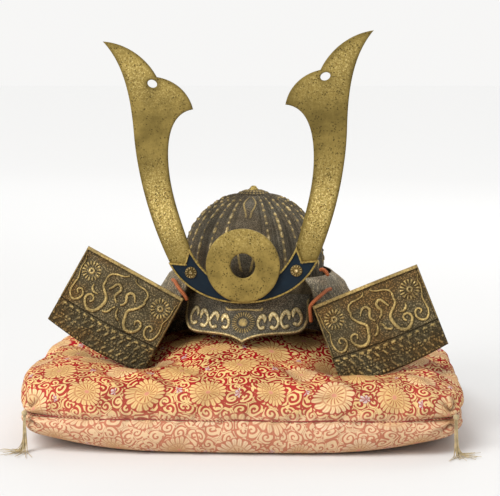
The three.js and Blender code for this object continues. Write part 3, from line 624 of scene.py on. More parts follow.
def brocade(name, flower):
    """Woven silk: gold flowers, small pale blossoms and scrolls on red, from the cloth's own UV in millimetres.

    Every motif sits in a staggered lattice. A petal is where the turn, times the number of petals, is far
    from a whole number; a scroll is where the radius less a multiple of the turn is near one.
    """
    f = Finish(name, Roughness=0.6, Specular_IOR_Level=0.1)
    uv = f.weave()

    def bend(reach):
        """The cloth's measure, drifting by up to about half of reach."""
        drift = f.vector("SUBTRACT", f.noise(uv, 20, 2, 0.5, "Color"), (0.5, 0.5, 0.5))
        return f.vector("ADD", uv, f.vector("SCALE", drift, Scale=reach))

    def middle_out(dx, dy):
        """Radius and turn about a middle."""
        return (dx * dx + dy * dy).maths("SQRT"), dy.maths("ARCTAN2", dx)

    def cell(wide, tall, shift=0.0):
        """Radius and turn in a cell of the staggered lattice, and its column and row."""
        x, y = f.parts(bent)
        x = x + shift
        row = (y / tall).floor()
        x = x + (row % 2.0) * (wide / 2)
        return *middle_out((x % wide) - wide / 2, (y % tall) - tall / 2), (x / wide).floor(), row

    def petals(radius, turn, size, count, round_off=0.16):
        """Inside of a petalled outline, the gaps between its petals and the vein down each petal."""
        off = abs(((turn * (count / TAU)) % 1.0) - 0.5) * 2
        reach = size * (1 - round_off * off * off)
        return (radius - reach).between(0.3, -0.3), off.between(0.58, 0.82), off.between(0.2, 0.08)

    # pale is a painted sheen: there the silk washes out to paler red and gold, and its scrolls thin.
    pale, bent = f.value("pale"), bend(12.0)
    wide, tall = 1.6 * flower, 1.22 * flower
    radius, turn, column, row = cell(wide, tall)
    radius = radius * (1.0 + 0.13 * (column * 2.3 + row * 4.1).sine())
    bloom, gaps, veins = petals(radius, turn, flower * 0.48, 20)
    middle, inner_gaps, _ = petals(radius, turn + 0.2, flower * 0.3, 15, 0.22)
    rim = abs(radius - flower * 0.29).between(0.6, 0.2) * 0.6
    outer_lines = gaps * (0.4 + 0.6 * radius.between(flower * 0.2, flower * 0.42)) + 0.35 * veins
    lines = (outer_lines * (1 - middle)).most((inner_gaps * middle).most(rim)) * radius.between(1.4, 2.4)

    small_radius, small_turn, *_ = cell(wide, tall, wide / 2)
    blossom, small_gaps, _ = petals(small_radius, small_turn, flower * 0.13, 6, 0.5)
    blossom = blossom * ((column * 3.1 + row * 1.3) % 2.0).between(0.9, 1.0)

    # One spiral in every cell of an uneven net, winding either way, and stems along the net's lines.
    mesh_size = 7.6
    curls = bend(7.0)
    net = {"Vector": curls, "Scale": 1 / mesh_size, "Randomness": 0.8}

    def netted(output, **how):
        return f.node("ShaderNodeTexVoronoi", {"voronoi_dimensions": "2D", **how}, net, output)

    lot = f.parts(netted("Color"))[0]
    edge = netted("Distance", feature="DISTANCE_TO_EDGE") * mesh_size
    spiral, wind = middle_out(*(a - b for a, b in zip(f.parts(curls), f.parts(netted("Position")))))
    arm = (spiral / 2.7 + (wind * (lot - 0.5).maths("SIGN") + lot * 40) / TAU) % 1.0
    curl = (abs(arm - 0.5) - pale * 0.11).between(0.24, 0.16) * edge.between(0.35, 0.7)
    stem = edge.between(0.45, 0.2) * f.noise(curls, 1 / 0.12, 1, 0.5).between(0.49, 0.53)
    scroll = curl.most(stem).most(f.noise(curls, 1 / 0.26, 0, 0.5).between(0.67, 0.69))

    across, down = f.parts(uv)
    fade = f.noise(f.place(), 24, 3).between(0.3, 0.7)
    # Red and gold wash out where the painted sheen is.
    red = f.coats(f.blend(fade, shade("red", 0.72), shade("red", 1.2)), (pale * 0.9, (0.50, 0.20, 0.115)))
    yellow = f.coats(f.blend(fade, shade("yellow", 0.78), shade("yellow", 1.1)), (pale * 0.9, (0.72, 0.50, 0.31)))
    strands = ((across + down * 0.35) * (TAU / 0.9)).sine()
    shine = strands.between(-0.6, 1.0) * (1 - pale)
    petal = f.coats(yellow, (((column * 1.7 + row * 2.9) % 3.0).between(1.9, 2.0) * 0.3, (0.85, 0.68, 0.50)),
                    (radius.between(flower * 0.48, flower * 0.1) * 0.5, (0.50, 0.25, 0.07)),
                    (shine * 0.25, (0.98, 0.80, 0.40)))
    base = f.coats(
        red,
        (scroll, f.blend(shine * 0.3, yellow, (0.98, 0.78, 0.36))),
        ((radius - flower * 0.49).between(0.5, 0.1), red),
        (bloom, petal),
        (lines * bloom * 0.9, f.blend(pale * 0.8, (0.36, 0.05, 0.015), (0.48, 0.22, 0.12))),
        (radius.between(1.9, 1.2) * 0.7, (0.60, 0.20, 0.16)),
        (small_radius.between(flower * 0.19, flower * 0.16) * blossom.maths("SIGN"), red),
        (blossom * (1 - small_gaps), f.blend(small_radius / 4.0, (0.45, 0.20, 0.20), (0.85, 0.76, 0.68))),
        # Painted shade in the corners' slits and close under the helmet.
        (f.value("fold") * 0.85, (0.07, 0.012, 0.008)))
    weft, warp = (down * (TAU / 0.55)).sine(), (across * (TAU / 0.55)).sine()
    raised = scroll.most(bloom) - lines * bloom * 0.7 + blossom * 0.8
    return f.feed(base, raised + (weft * warp) * 0.14 + strands * raised * 0.16, 0.55, 0.28,
                  Roughness=0.8 - 0.25 * raised.maths("MINIMUM", 1.0))


# ------------------------------------------------------------------ the bowl and its crown
BOWL_MIDDLE_Z, COLLAR_Z, COLLAR_STEP = 102.4, 84.0, 0.8


def bowl_point(turn, down, lift, radius):
    """Round form of the bowl: down 0 is the crown, 1 the equator, 2 the collar's lower edge; lift is off it."""
    angle, collar = np.pi / 2 * np.minimum(down, 1), clip01(down - 1)
    out = mix((radius + lift) * np.sin(angle), radius + COLLAR_STEP + lift, collar)
    return polar(out, turn, mix(BOWL_MIDDLE_Z + (radius + lift) * np.cos(angle), COLLAR_Z, collar))


def build_bowl(s):
    """Ribs are cosine humps across the turn; rivets and dashes are domes in the distance along each rib."""
    ribs, radius, per_rib = s["ribs"], s["radius"], 16
    pitch = TAU / ribs
    turn = around(ribs * per_rib) + pitch / per_rib / 2
    turns, downs = np.meshgrid(turn, np.concatenate([np.linspace(0.1, 1, 116), np.linspace(1, 2, 22)[1:]]))
    rng = np.random.default_rng(SEED)
    rib = np.floor(turns / pitch).astype(int)
    off = (turns % pitch) - pitch / 2
    ribbed = (rib != 0) & (rib != ribs - 1)
    quarter = radius * np.pi / 2
    arc = quarter * downs
    girth = radius * np.sin(np.pi / 2 * np.minimum(downs, 1))
    from_front = np.where(turns > np.pi, turns - TAU, turns)
    field = ease((90 * downs - 9) / 12) * (1 - ease((downs - 1.05) / 0.5)) * ribbed
    hump = np.cos(np.clip(off / math.radians(3.9), -1, 1) * np.pi / 2) ** 1.1
    # Rivet heads, and dashes where several have run together.
    spacing, lots = 5.2, 24
    start = rng.uniform(0, spacing, ribs)[rib]
    step = np.floor((arc - start) / spacing).astype(int) % lots
    along = (arc - start) % spacing - spacing / 2
    size = rng.uniform(0.8, 1.3, (ribs, lots))[rib, step] * s["rivet"]
    dash = rng.uniform(0, 1, (ribs, lots))[rib, step] > 0.62
    along = np.where(dash, np.sign(along) * np.clip(np.abs(along) - 1.0, 0, None), along)
    rivets = dome(np.hypot(along, girth * off) / size) * ribbed * window(arc, 15, 76, 6)
    facing = ease((math.radians(100) - np.abs(from_front)) / 0.6)
    # The open field at the front: two wavy lines, and two ribs that run together lower down.
    sway = [(x, quarter * mix(0.2, 0.50, k / 5)) for k, x in enumerate((0.8, 2.7, 3.8, 3.3, 1.9, 1.5))]
    joined = [(6.2, 57), (3.6, 70), (1.8, 78)]
    wave, wave_shade = highest_stroke(girth * from_front, arc, [
        ([(side * x, y) for x, y in route], radii) for side in (-1, 1)
        for route, radii in ((sway, [0.5, 0.65, 0.75]), (joined, [0.8, 0.9, 0.7]))])
    marks = dome((turns * 36 / np.pi) % 1 * 3.4 - 1.7) * window(downs, 1.08, 1.6, 0.1, 0.3)
    lift = s["rib_height"] * hump * field + 0.6 * rivets + 0.5 * wave - 0.25 * marks
    patch = rng.uniform(0, 1, (ribs, 40))[rib, (arc / 2.1).astype(int) % 40]
    rubbed = 0.34 * hump ** 2 * (patch > 0.3) * field + 0.95 * rivets * mix(0.55, 1.0, facing) + 0.8 * wave
    rubbed = np.maximum(clip01(rubbed), 0.28 * ease((downs - 1.15) / 0.3))
    valley = np.abs(off) / pitch
    shadow = 0.5 * ease((valley - 0.33) / 0.12) * field + 0.45 * wave_shade + 0.6 * marks
    inner_turns, inner_downs = np.meshgrid(turn, np.concatenate([[2], np.linspace(2, 1, 4),
                                                                 np.linspace(1, 0.1, 13)[1:]]))
    inner = bowl_point(inner_turns, inner_downs, -s["wall"], radius)
    inner[0] = bowl_point(turn, 2 + 0 * turn, -0.4, radius)
    blank = 0 * inner_turns
    piece = round_body("bowl_cast", np.concatenate([bowl_point(turns, downs, lift, radius), inner]),
                       {"relief": np.concatenate([rubbed, blank]),
                        "shadow": np.concatenate([clip01(shadow), blank + 0.3]),
                        "flute": np.concatenate([valley * 2 * field, blank])},
                       finish=cast_bronze("Dark_bronze", shade("sand", 1.12), 0.5, 1.0, 0.4))
    return [(piece, ["bowl"], "bowl_bronze")]


def build_crown():
    """A stepped flower: the height over the polar grid falls in tiers, with beads and petals as cosines."""
    columns = 288
    r, t = round_grid(np.concatenate([np.linspace(0.2, 10.9, 84), [11.2]]), columns)

    def beads(count, ring, size):
        return dome(np.hypot(in_repeat(t * count / TAU) * TAU / count * ring, r - ring) / size)

    tiers = 3.3 - sum(fall * ease((r - start) / width) for fall, start, width in
                      ((0.6, 3.4, 0.5), (0.7, 5.2, 2.6), (0.45, 8.0, 0.4), (0.75, 8.6, 2.4)))
    large, small = beads(26, 9.6, 0.85), beads(18, 4.4, 0.6)
    petal = dome(in_repeat(t * 20 / TAU) * 2.3) * window(r, 4.9, 8.1, 0.6, 0.5)
    z = 146.8 + tiers + 0.55 * large + 0.5 * petal + 0.4 * small
    z[-1] -= 0.9
    notch = 1 - 0.035 * np.abs(np.sin(t * 13)) * ease((r - 9) / 2)
    under_r, under_t = round_grid([11.0, 6.0, 1.0], columns)
    under = polar(under_r, under_t, BOWL_MIDDLE_Z + np.sqrt(46.2 ** 2 - under_r ** 2))
    ring = round_body("crown_flower", np.concatenate([polar(r * notch, t, z), under]),
                      {"relief": np.concatenate([clip01(0.9 * large + 0.6 * petal + 0.8 * small), 0 * under_r]),
                       "shadow": np.concatenate([0.6 * window(r, 8.0, 8.9, 0.3) * (1 - large), 0 * under_r])},
                      finish=cast_bronze("Crown_bronze", shade("sand", 0.8), 0.7, 0.85, 0.4))
    outline = smooth_route([(0.1, -0.2), (3.0, -0.2), (3.1, 0.35), (2.5, 0.9), (2.2, 1.3), (1.9, 1.9), (1.0, 2.45),
                            (0.1, 2.6)], 40)
    r, t = round_grid(outline[:, 0], 64)
    knob = round_body("crown_knob_cap", polar(r, t, outline[:, 1:2] + 150.15),
                      {"polish": 0 * r + 0.9, "edge": 0 * r}, finish=old_brass("Knob_brass"))
    return [(ring, ["crown_ring"], "relief_bronze"), (knob, ["crown_knob"], "old_brass")]


# ------------------------------------------------------------------ the visor
VISOR_RADIUS, VISOR_HALF, VISOR_SLOPE = 49.2, math.radians(53.4), math.radians(57.4)
FLOWER_DOWN = 20.2  # the visor's flower, down its slope
# One scroll from its drop-shaped head round its back to the ball at its foot, in shares of its half sizes.
SCROLL = [(0.74, 0.0), (0.66, -0.6), (0.1, -0.95), (-0.62, -0.55), (-1.0, 0.06), (-0.8, 0.64), (-0.22, 0.98),
          (0.34, 0.82)]
# Each scroll's middle across and down the visor, the way it opens, and its half width and height.
VISOR_SCROLLS = [(11.4, 19.8, 1, 2.4, 4.5), (18.4, 18.9, -1, 2.9, 5.2), (25.6, 17.7, 1, 2.8, 5.7),
                 (32.0, 16.1, -1, 2.8, 5.6)]


def visor_drop(s):
    """How far the visor hangs down its slope: rounded ends, with a point at the middle."""
    x = np.abs(VISOR_RADIUS * np.sin(s * VISOR_HALF))
    return mix(10.0, 27.7, np.power(clip01(1 - np.abs(s) ** 8), 0.4545)) + 6.3 * np.exp(-x / 7.5)


def visor_point(s, along, lift):
    """s runs from -1 to 1 across, along is the distance down the slope, lift is off it."""
    turn, c, sn = s * VISOR_HALF, math.cos(VISOR_SLOPE), math.sin(VISOR_SLOPE)
    out = along * c + lift * sn
    z = 88 - 3 * s * s - along * sn + lift * c
    return np.stack([(VISOR_RADIUS + out * 0.12) * np.sin(turn), -VISOR_RADIUS * np.cos(turn) - out, z], -1)


def build_visor(s):
    """A sloped sheet whose relief is the highest of its scrolls, its flower and its rim."""
    even = np.linspace(-1, 1, 331)
    across = mix(even, np.sin(even * np.pi / 2), 0.3)
    ss, vs = np.meshgrid(across, np.linspace(0, 1, 104))
    along, x = vs * visor_drop(ss), VISOR_RADIUS * np.sin(ss * VISOR_HALF)
    line_x = VISOR_RADIUS * np.sin(across * VISOR_HALF)
    edge = np.stack([np.concatenate([[line_x[0]] * 2, line_x, [line_x[-1]] * 2]),
                     np.concatenate([[2.0, 8.0], visor_drop(across), [8.0, 2.0]])], -1)
    nearest = np.sqrt(np.minimum.reduce([segment_share(x, along, a, b)[1]
                                         for a, b in zip(edge[:-1:2], edge[2::2])]))
    rope = 0.9 + 0.1 * np.sin((x + along * 0.8) * 4.2)
    rim = dome(np.clip(nearest - 0.7, 0, 9) / 0.95) * ease((along - 1) / 6) * ease(nearest / 0.35 + 0.45) * rope
    relief, scrolls_shade = highest_stroke(x, along, [
        ([(side * (mid + opens * half * px), down + tall * py) for px, py in SCROLL],
         [0.5, 1.45, 1.6, 1.25, 0.95, 0.9, 1.1, 1.4])
        for side in (-1, 1) for mid, down, opens, half, tall in VISOR_SCROLLS])
    ring = np.hypot(x, along - FLOWER_DOWN)
    boss = dome(ring / 3.0)
    bar = stroke(x, along, [(-11.2, 10.3), (-9.6, 11.6), (0, 11.2), (9.6, 11.6), (11.2, 10.3)],
                 [0.8, 0.8, 0.6, 0.8, 0.8])
    relief = np.maximum.reduce([relief, rosette(x, along, (0, FLOWER_DOWN), 7.1, 26), 0.8 * bar,
                                boss * (1.05 + 0.25 * np.sin(x * 4.1) * np.sin(along * 3.7))])
    petal_gaps = ease((7.6 - ring) / 0.6) * (1 - clip01(relief * 3))
    shadow = clip01(0.3 * ease((3.0 - along) / 3.0) + 0.8 * scrolls_shade + 0.5 * petal_gaps)
    piece = slab("visor_cast", visor_point(ss, along, s["relief"] * relief + 0.95 * rim),
                 visor_point(ss, along, -1.6 + 0 * along),
                 {"relief": clip01(np.maximum(relief * 1.05, rim)) * (1 - 0.35 * boss), "shadow": shadow},
                 finish=cast_bronze("Visor_bronze", shade("sand", 1.05), 0.8, 1.0, 0.4))
    return [(piece, ["visor"], "relief_bronze")]


# ------------------------------------------------------------------ the neck guard and its wings
# Radius and height where each plate starts, and where the last one ends.
GUARD_PLATES = [(50.6, 97.9), (58.6, 91.5), (66.4, 78), (72.6, 67), (78.8, 56), (84.6, 46), (89.2, 37.2)]
GUARD_WALLS = [1.2, 2.0, 2.0, 2.9]  # the last one goes for the lower plates too


def build_neck_guard():
    """Plates of a cone: knots on the upper two, lames and lacing as humps across the turn on the others.

    Each lower plate steps out from the last. The wall's inner rows close every cross section.
    """
    rows, places = [], 401
    for k, ((r0, z0), (r1, z1)) in enumerate(zip(GUARD_PLATES, GUARD_PLATES[1:])):
        t = np.linspace(0, 1, 24 if k > 1 else 10, endpoint=k == 5)
        rows.append([mix(r0, r1, t) + 0.9 * ease((t - 0.02) / 0.08) * (k > 2), mix(z0, z1, t), 0 * t + k, t])
    r, z, kind, t = np.concatenate(rows, 1)[..., None]
    front = mix(math.radians(47.2), math.radians(43.4), clip01((z - 37) / 45))
    turn = mix(front, TAU - front, np.linspace(0, 1, places))
    arc, down = (turn - np.pi) * r, t * 11.2
    tooth = in_repeat(arc / 3.3)
    lames = dome(tooth * 2.2) * window(down, 1.0, 5.4, 0.6, 0.8)
    lacing = dome(in_repeat((down - 5.6) / 1.9 + np.abs(tooth) * 1.6) * 2.2) * window(down, 5.6, 11.0, 0.6)
    lacing = lacing * dome(tooth * 2.05)
    below_rim = ease((96.5 - z) / 2.5)
    knots = np.sin(TAU * (arc / 2.9 + z / 5.3)) * np.sin(TAU * (z / 2.7 - arc / 9.7))
    knots = clip01(0.35 + 0.9 * knots) * (kind <= 1) * below_rim
    relief = np.where(kind > 1, np.maximum(0.75 * lames, 0.9 * lacing), 0.7 * knots)
    lip = ease(1.3 - down) * (kind > 2)
    shadow = np.where(kind > 1, (1 - relief) * 0.55, 0.6 * (1 - knots) * below_rim) * (1 - lip)

    n, m = len(r), 14
    inner = np.linspace(0, n - 1, m).round().astype(int)[::-1]
    wall = np.choose(np.clip(kind, 0, 3).astype(int), GUARD_WALLS)
    radii = np.concatenate([r + 0.75 * relief - 0.2, np.repeat((r - wall)[inner], places, 1)])
    sections = polar(radii, np.concatenate([turn, turn[inner]]), np.concatenate([z, z[inner]]))
    # Each front edge is closed by triangles between its outer and its inner rows.
    k = np.arange(n - 1)
    across = n + m - np.searchsorted(inner[::-1], np.arange(n), side="right")
    a, b = across[:-1], across[1:]
    cap = np.vstack([np.stack([k, k + 1, b], -1), np.stack([k, b, a], -1)[a != b]])
    blank = np.zeros((m, places))
    piece = as_object("neck_guard_cast", tilted(sections.transpose(1, 0, 2), GUARD_TILT),
                      grid_quads(places, n + m, wrap=True), np.vstack([cap, cap[:, ::-1] + (places - 1) * (n + m)]),
                      {"relief": np.concatenate([clip01(0.62 * np.maximum(relief, 0.9 * lip)), blank]).T,
                       "shadow": np.concatenate([shadow, blank + 0.2]).T},
                      finish=cast_bronze("Sandy_bronze", shade("sand", 2.3), 0.8, 0.7, 0.3, 0.56))
    return [(piece, ["neck_guard"], "guard_bronze")]


WING_ACROSS, WING_DOWN = unit([0.904, 0.086, 0.420]), unit([0.410, -0.288, -0.865])
WING_FACE = unit(np.cross(WING_DOWN, WING_ACROSS))
WING_CORNER = np.array([40.6, -49.4, 81.8])  # the inner top corner
WING_WIDTH, WING_HEIGHT, WING_PANEL = 71.0, 53.6, 36.1


def wing_point(u, v, lift):
    """u across from the inner edge, v down from the top edge, lift off the face; the face is slightly bowed."""
    bulge = np.sin(np.pi * u / WING_WIDTH)
    fall = v * (1 + 3.0 / WING_HEIGHT * bulge * v / WING_HEIGHT)
    return (WING_CORNER + (u + 0.6)[..., None] * WING_ACROSS + fall[..., None] * WING_DOWN
            + (lift + 1.5 * bulge)[..., None] * WING_FACE)


# Scrolls as (route across and down the wing, radii along it).
WING_SCROLLS = [
    ([(32.7, 4.2), (31.5, 6), (28.2, 6.8), (24.2, 7.1), (21.6, 8.6), (20.6, 11), (21, 13.2), (20.6, 15.5), (22, 18.2),
      (24.6, 21), (27.3, 23.2), (27.8, 25.2), (27.2, 28.5), (26.2, 31.5), (24, 34), (21, 34.5), (18, 33.3), (16, 30.8),
      (15.6, 28.3), (16.8, 26.4), (18.8, 26.2), (20.2, 27.4), (19.6, 29)], [0.5, 0.75, 0.9, 1.15, 1.2, 0.9, 0.7]),
    ([(37.5, 4.2), (39.2, 5.6), (42, 6.6), (45.5, 7.3), (48.5, 8.9), (49.7, 11.5), (49.5, 14), (49.6, 16.8), (48, 19.2),
      (45.5, 21.3), (43.8, 23.8), (43.6, 26.5), (44.6, 29.8), (46.5, 33), (49.5, 34.6), (52.5, 34.2), (55, 31.8),
      (56.2, 29), (55.3, 26.8), (53.2, 25.9), (51.3, 26.8), (50.9, 28.6), (52, 29.8)],
     [0.5, 0.8, 0.9, 1.3, 1.2, 0.9, 0.7]),
    ([(26.3, 17), (27.4, 15), (29, 13.4), (30.8, 13.1), (32.3, 14.1), (33, 15.7), (32.1, 17.6), (31.5, 19.3),
      (31.9, 21.2), (33.4, 22.8)], [0.5, 1.0, 1.1, 1.05, 0.7]),
    ([(37.2, 22.5), (39, 20.6), (39.5, 18.6), (38.6, 16.5), (38, 14.5), (39, 12.9), (40.6, 12.1), (42.2, 13),
      (43.3, 15), (44.7, 17.2)], [0.7, 1.05, 1.1, 1.0, 0.8]),
    ([(33.9, 25.7), (33.6, 28), (32.3, 30.3), (30.6, 31.3)], [0.6, 0.9, 0.9]),
    ([(36.2, 25.5), (37.6, 27.2), (38.4, 29.4), (40.2, 30.8), (41.8, 31)], [0.6, 0.9, 0.8]),
    ([(1.9, 6), (2.4, 10), (2.4, 14), (3.1, 17.5), (4.2, 20.5), (3.6, 23.8), (3.4, 27.5), (4.4, 31.2), (6.3, 33.4),
      (8.8, 33.6), (11.2, 31.9), (12.3, 29), (11.5, 26.5), (9.6, 25.5), (8, 26.6), (8.5, 28.4)],
     [0.4, 0.55, 0.85, 0.85, 0.7]),
    ([(69, 6), (67.8, 9), (68.2, 13), (67.6, 17), (66.5, 20.5), (67, 25), (67.3, 29), (66, 32.3), (63.3, 34),
      (60.4, 32.6), (58.8, 30), (59, 27.6), (60.6, 25.9), (62.3, 26.2), (63.2, 27.6), (62, 28.9)],
     [0.4, 0.6, 0.85, 0.85, 0.7]),
    ([(55.3, 19.6), (55.1, 21.9), (53.2, 23.6), (50.5, 23.7)], [0.5, 1.05, 0.6]),
]


def build_wings(s):
    """One wing's relief is the highest of rims, scrolls, flowers and a braided strip; the other is its mirror."""
    chamfer = np.array([0, 0.2, 0.5])
    u, v = np.meshgrid(*(np.concatenate([chamfer, np.linspace(0.8, size - 0.8, count), size - chamfer[::-1]])
                         for size, count in ((WING_WIDTH, 214), (WING_HEIGHT, 164))))
    groove = WING_PANEL - 0.3 + 1.2 * u / WING_WIDTH
    down, side = v - groove, np.minimum(u, WING_WIDTH - u)
    panel = ease((-down - 0.2) / 0.3)
    scrolls, scrolls_shade = (layer * panel for layer in highest_stroke(u, v, WING_SCROLLS))
    flowers = np.maximum(*(rosette(u, v, (middle, 13.0), 6.4, 16, 1.0) for middle in (10.0, 61.0)))
    rims = np.maximum(ease((2.5 - v) / 0.35), 0.7 * ease((1.3 - side) / 0.4) * panel)
    # The strip below the groove: a row of dashes, two rows of slanted laces and rough grains between them.
    pitch = 5.3
    dashes = dome(down - 1.7 - 0.12 * u % 0.6) * dome(in_repeat(u / pitch) * 2.7)
    braid = np.zeros_like(u)
    for middle, shift in ((5.8, 0.35), (13.2, 0.85)):
        x, y = in_repeat(u / pitch + shift) * pitch, down - middle
        lot = np.sin(np.floor(u / pitch + shift) * 12.9898 + middle) * 0.25 + 0.75
        lace = dome((x * 0.62 + y * 0.78) / 2.1) * dome((x * 0.78 - y * 0.62) / 0.9)
        braid = np.maximum(braid, lot * lace)
    rng = np.random.default_rng(SEED + 1)
    for middle, size in ((3.7, 0.75), (8.6, 1.0), (10.6, 0.95), (15.9, 0.95), (17.6, 0.8)):
        count = int(WING_WIDTH / (2.3 * size))
        at_u = (np.arange(count) + rng.uniform(0.2, 0.8, count)) * WING_WIDTH / count
        at_v = middle + rng.uniform(-0.35, 0.35, count)
        reach = size * rng.uniform(0.6, 1.15, count)
        tall = rng.uniform(0.45, 0.95, count)
        for step in (-1, 0, 1):
            k = np.clip((u / WING_WIDTH * count).astype(int) + step, 0, count - 1)
            braid = np.maximum(braid, tall[k] * dome(np.hypot(u - at_u[k], down - at_v[k]) / reach[k]))
    braid = braid * ease((WING_HEIGHT - v) / 0.8) * ease((down - 0.3) / 0.5)
    relief = np.maximum.reduce([scrolls, flowers, rims * s["rim"] / s["relief"], 0.8 * braid, 0.8 * dashes])
    cut = dome(down / 0.45)
    corner = np.minimum(np.minimum(v, WING_HEIGHT - v), side)
    lift = s["relief"] * relief - 0.5 * cut - 0.45 * (1 - ease(corner / 0.5))
    front, back = wing_point(u, v, lift), wing_point(u, v, -1.8 + 0 * u)
    ground = 1 - clip01(relief * 2)
    rim_shade = (ease((4.0 - v) / 1.2) + ease(2.3 - side)) * ground
    values = {
        "relief": clip01(np.maximum.reduce([scrolls * 0.72, flowers, rims * 0.5, braid * 0.52, dashes * 0.55])),
        "shadow": clip01(np.maximum.reduce([0.95 * cut, ground * ease(down / 1.5) * 0.62, 0.7 * scrolls_shade,
                                            0.6 * rim_shade]))}
    finish = cast_bronze("Wing_bronze", shade("bronze", 3.0), 1.1, 0.95, 1.0, 0.45, 0.8)
    return [(slab(f"wing_{name}_cast", tilted(turn(front), GUARD_TILT), tilted(turn(back), GUARD_TILT), values,
                  finish=finish), [f"wing_{name}"], "relief_bronze")
            for name, turn in (("right", np.asarray), ("left", mirrored))]


# ------------------------------------------------------------------ the crest
DISC_Z = 107.0  # height of the crest disc's middle


def crest_place(front_y):
    """Puts flat points of the crest, about the disc's middle, in space."""
    return lambda x, y, depth: tilted(np.stack([x, front_y + depth, y + DISC_Z], -1), CREST_TILT)


def bevelled(width):
    """Depth of a rounded edge of this width at a distance from the outline."""
    return lambda distance: width * (1 - dome(1 - clip01(distance / width)))


def build_disc(r, hole=7.8, bevel=0.35, flat=1.4, wall=1.6):
    """A ring of sections with bevelled edges at the hole and at the outer radius."""
    section = np.array([(hole, 1.3), (hole, bevel), (hole + 0.1, 0.1), (hole + bevel, 0),
                        *[(mix(hole + flat, r - flat, k / 9), 0) for k in range(10)],
                        (r - bevel, 0), (r - 0.1, 0.1), (r, bevel), (r, 1.3), (r - 0.4, wall), (hole + 0.4, wall)])
    radius, t = np.broadcast_arrays(section[None, :, 0], around(220)[:, None])
    x, y = radius * np.cos(t), radius * np.sin(t)
    edge = np.maximum(ease((radius - r + 1.1) / 1.1), ease((hole + 1.3 - radius) / 1.3)) * 0.8
    # Brighter towards the top; darker at the rim and at the hole: painted shade.
    return ring_body("crest_disc_plate", crest_place(-60)(x, y, section[None, :, 1] + 0 * t),
                     {"polish": 0.3 * ease((y - 4) / 14) * (radius > hole + 1), "edge": edge},
                     finish=old_brass("Disc_brass"))


def build_crest(s):
    """The disc is a ring of bevelled sections; the socket is a plate whose border stands up by a step."""
    disc = build_disc(s["disc_radius"])
    half = curves((0, -24.2), ((20, -24.2), (39, -15.5), (47.4, 2.6), 34),
                  ((44, 2.3), (40.6, 2.0), (37.2, 1.7), 8), ((36.1, 4.9), (35.0, 8.2), (33.9, 11.4), 8),
                  ((31.5, 6.2), (28.4, 1.1), (23.5, -4), 12), ((17.5, -9.6), (9.6, -13), (0, -13.4), 18))
    outline = np.vstack([half, [(0, -13.4)], (half * [-1, 1])[:0:-1]])
    front = flat_plate("crest_socket_front", [outline], crest_place(-58.1),
                       lambda distance: bevelled(0.25)(distance) + 0.9 * ease((distance - 1.05) / 0.25),
                       [0.12, 0.28, 1.05, 1.3], 2.4, finish=socket_enamel("Socket_enamel"),
                       values=lambda x, y, distance: {"relief": 1 - ease((distance - 1.0) / 0.25)})
    brass = old_brass("Socket_brass")

    def plain(name, corners, count, y, width, steps, thickness):
        # Darker towards the outline: painted shade.
        return flat_plate(name, [straight_edges(corners, count)], crest_place(y), bevelled(width), steps, thickness,
                          finish=brass, values=lambda x, y, distance: {
                              "polish": 0 * x, "edge": ease((1.5 - distance) / 1.5) * 0.6})

    rear = plain("crest_socket_rear", [(-40, -2), (-34, -12), (0, -21), (34, -12), (40, -2), (0, -12)], 16, -53.4,
                 0.25, [0.1, 0.25], 1.2)
    bracket = plain("crest_socket_bracket", [(-10, -18), (10, -18), (10, -13), (-10, -13)], 10, -55.9,
                    0.3, [0.15, 0.3], 8.2)
    pieces = [(disc, ["crest_disc"], "old_brass"), (front, ["crest_socket"], "navy_enamel"),
              (rear, [], "old_brass"), (bracket, [], "old_brass")]

    size, petals = 3.9, 12
    r, t = round_grid(np.linspace(0.05, size, 40), 144)
    scallop = 1 - 0.07 * np.abs(np.sin(t * petals / 2)) ** 0.6 * (r / size)
    relief = rosette(r * np.cos(t), r * np.sin(t), (0, 0), size, petals)
    lift = 0.95 * clip01(relief) + 0.35 * dome(clip01((r - 3.2) / 0.7))
    values = {"relief": np.concatenate([0.35 + 0.65 * relief, 0 * r[:1]])}
    finish = cast_bronze("Flower_brass", shade("brass_dark", 1.2), 0.6, 1.0, 0.4)
    for side, name in ((1, "right"), (-1, "left")):
        x, y = side * 33.4 + r * scallop * np.cos(t), -4 + r * scallop * np.sin(t)
        x, y, depth = (np.concatenate([v, last]) for v, last in ((x, x[-1:]), (y, y[-1:]), (-lift, 0 * r[:1] + 0.3)))
        piece = round_body(f"socket_flower_{name}_cast", crest_place(-57.4)(x, y, depth), values, finish=finish)
        pieces.append((piece, [f"socket_flower_{name}"], "old_brass"))
    return pieces


HORN_FOOT = 37.0  # from the middle to the line that each horn leans about


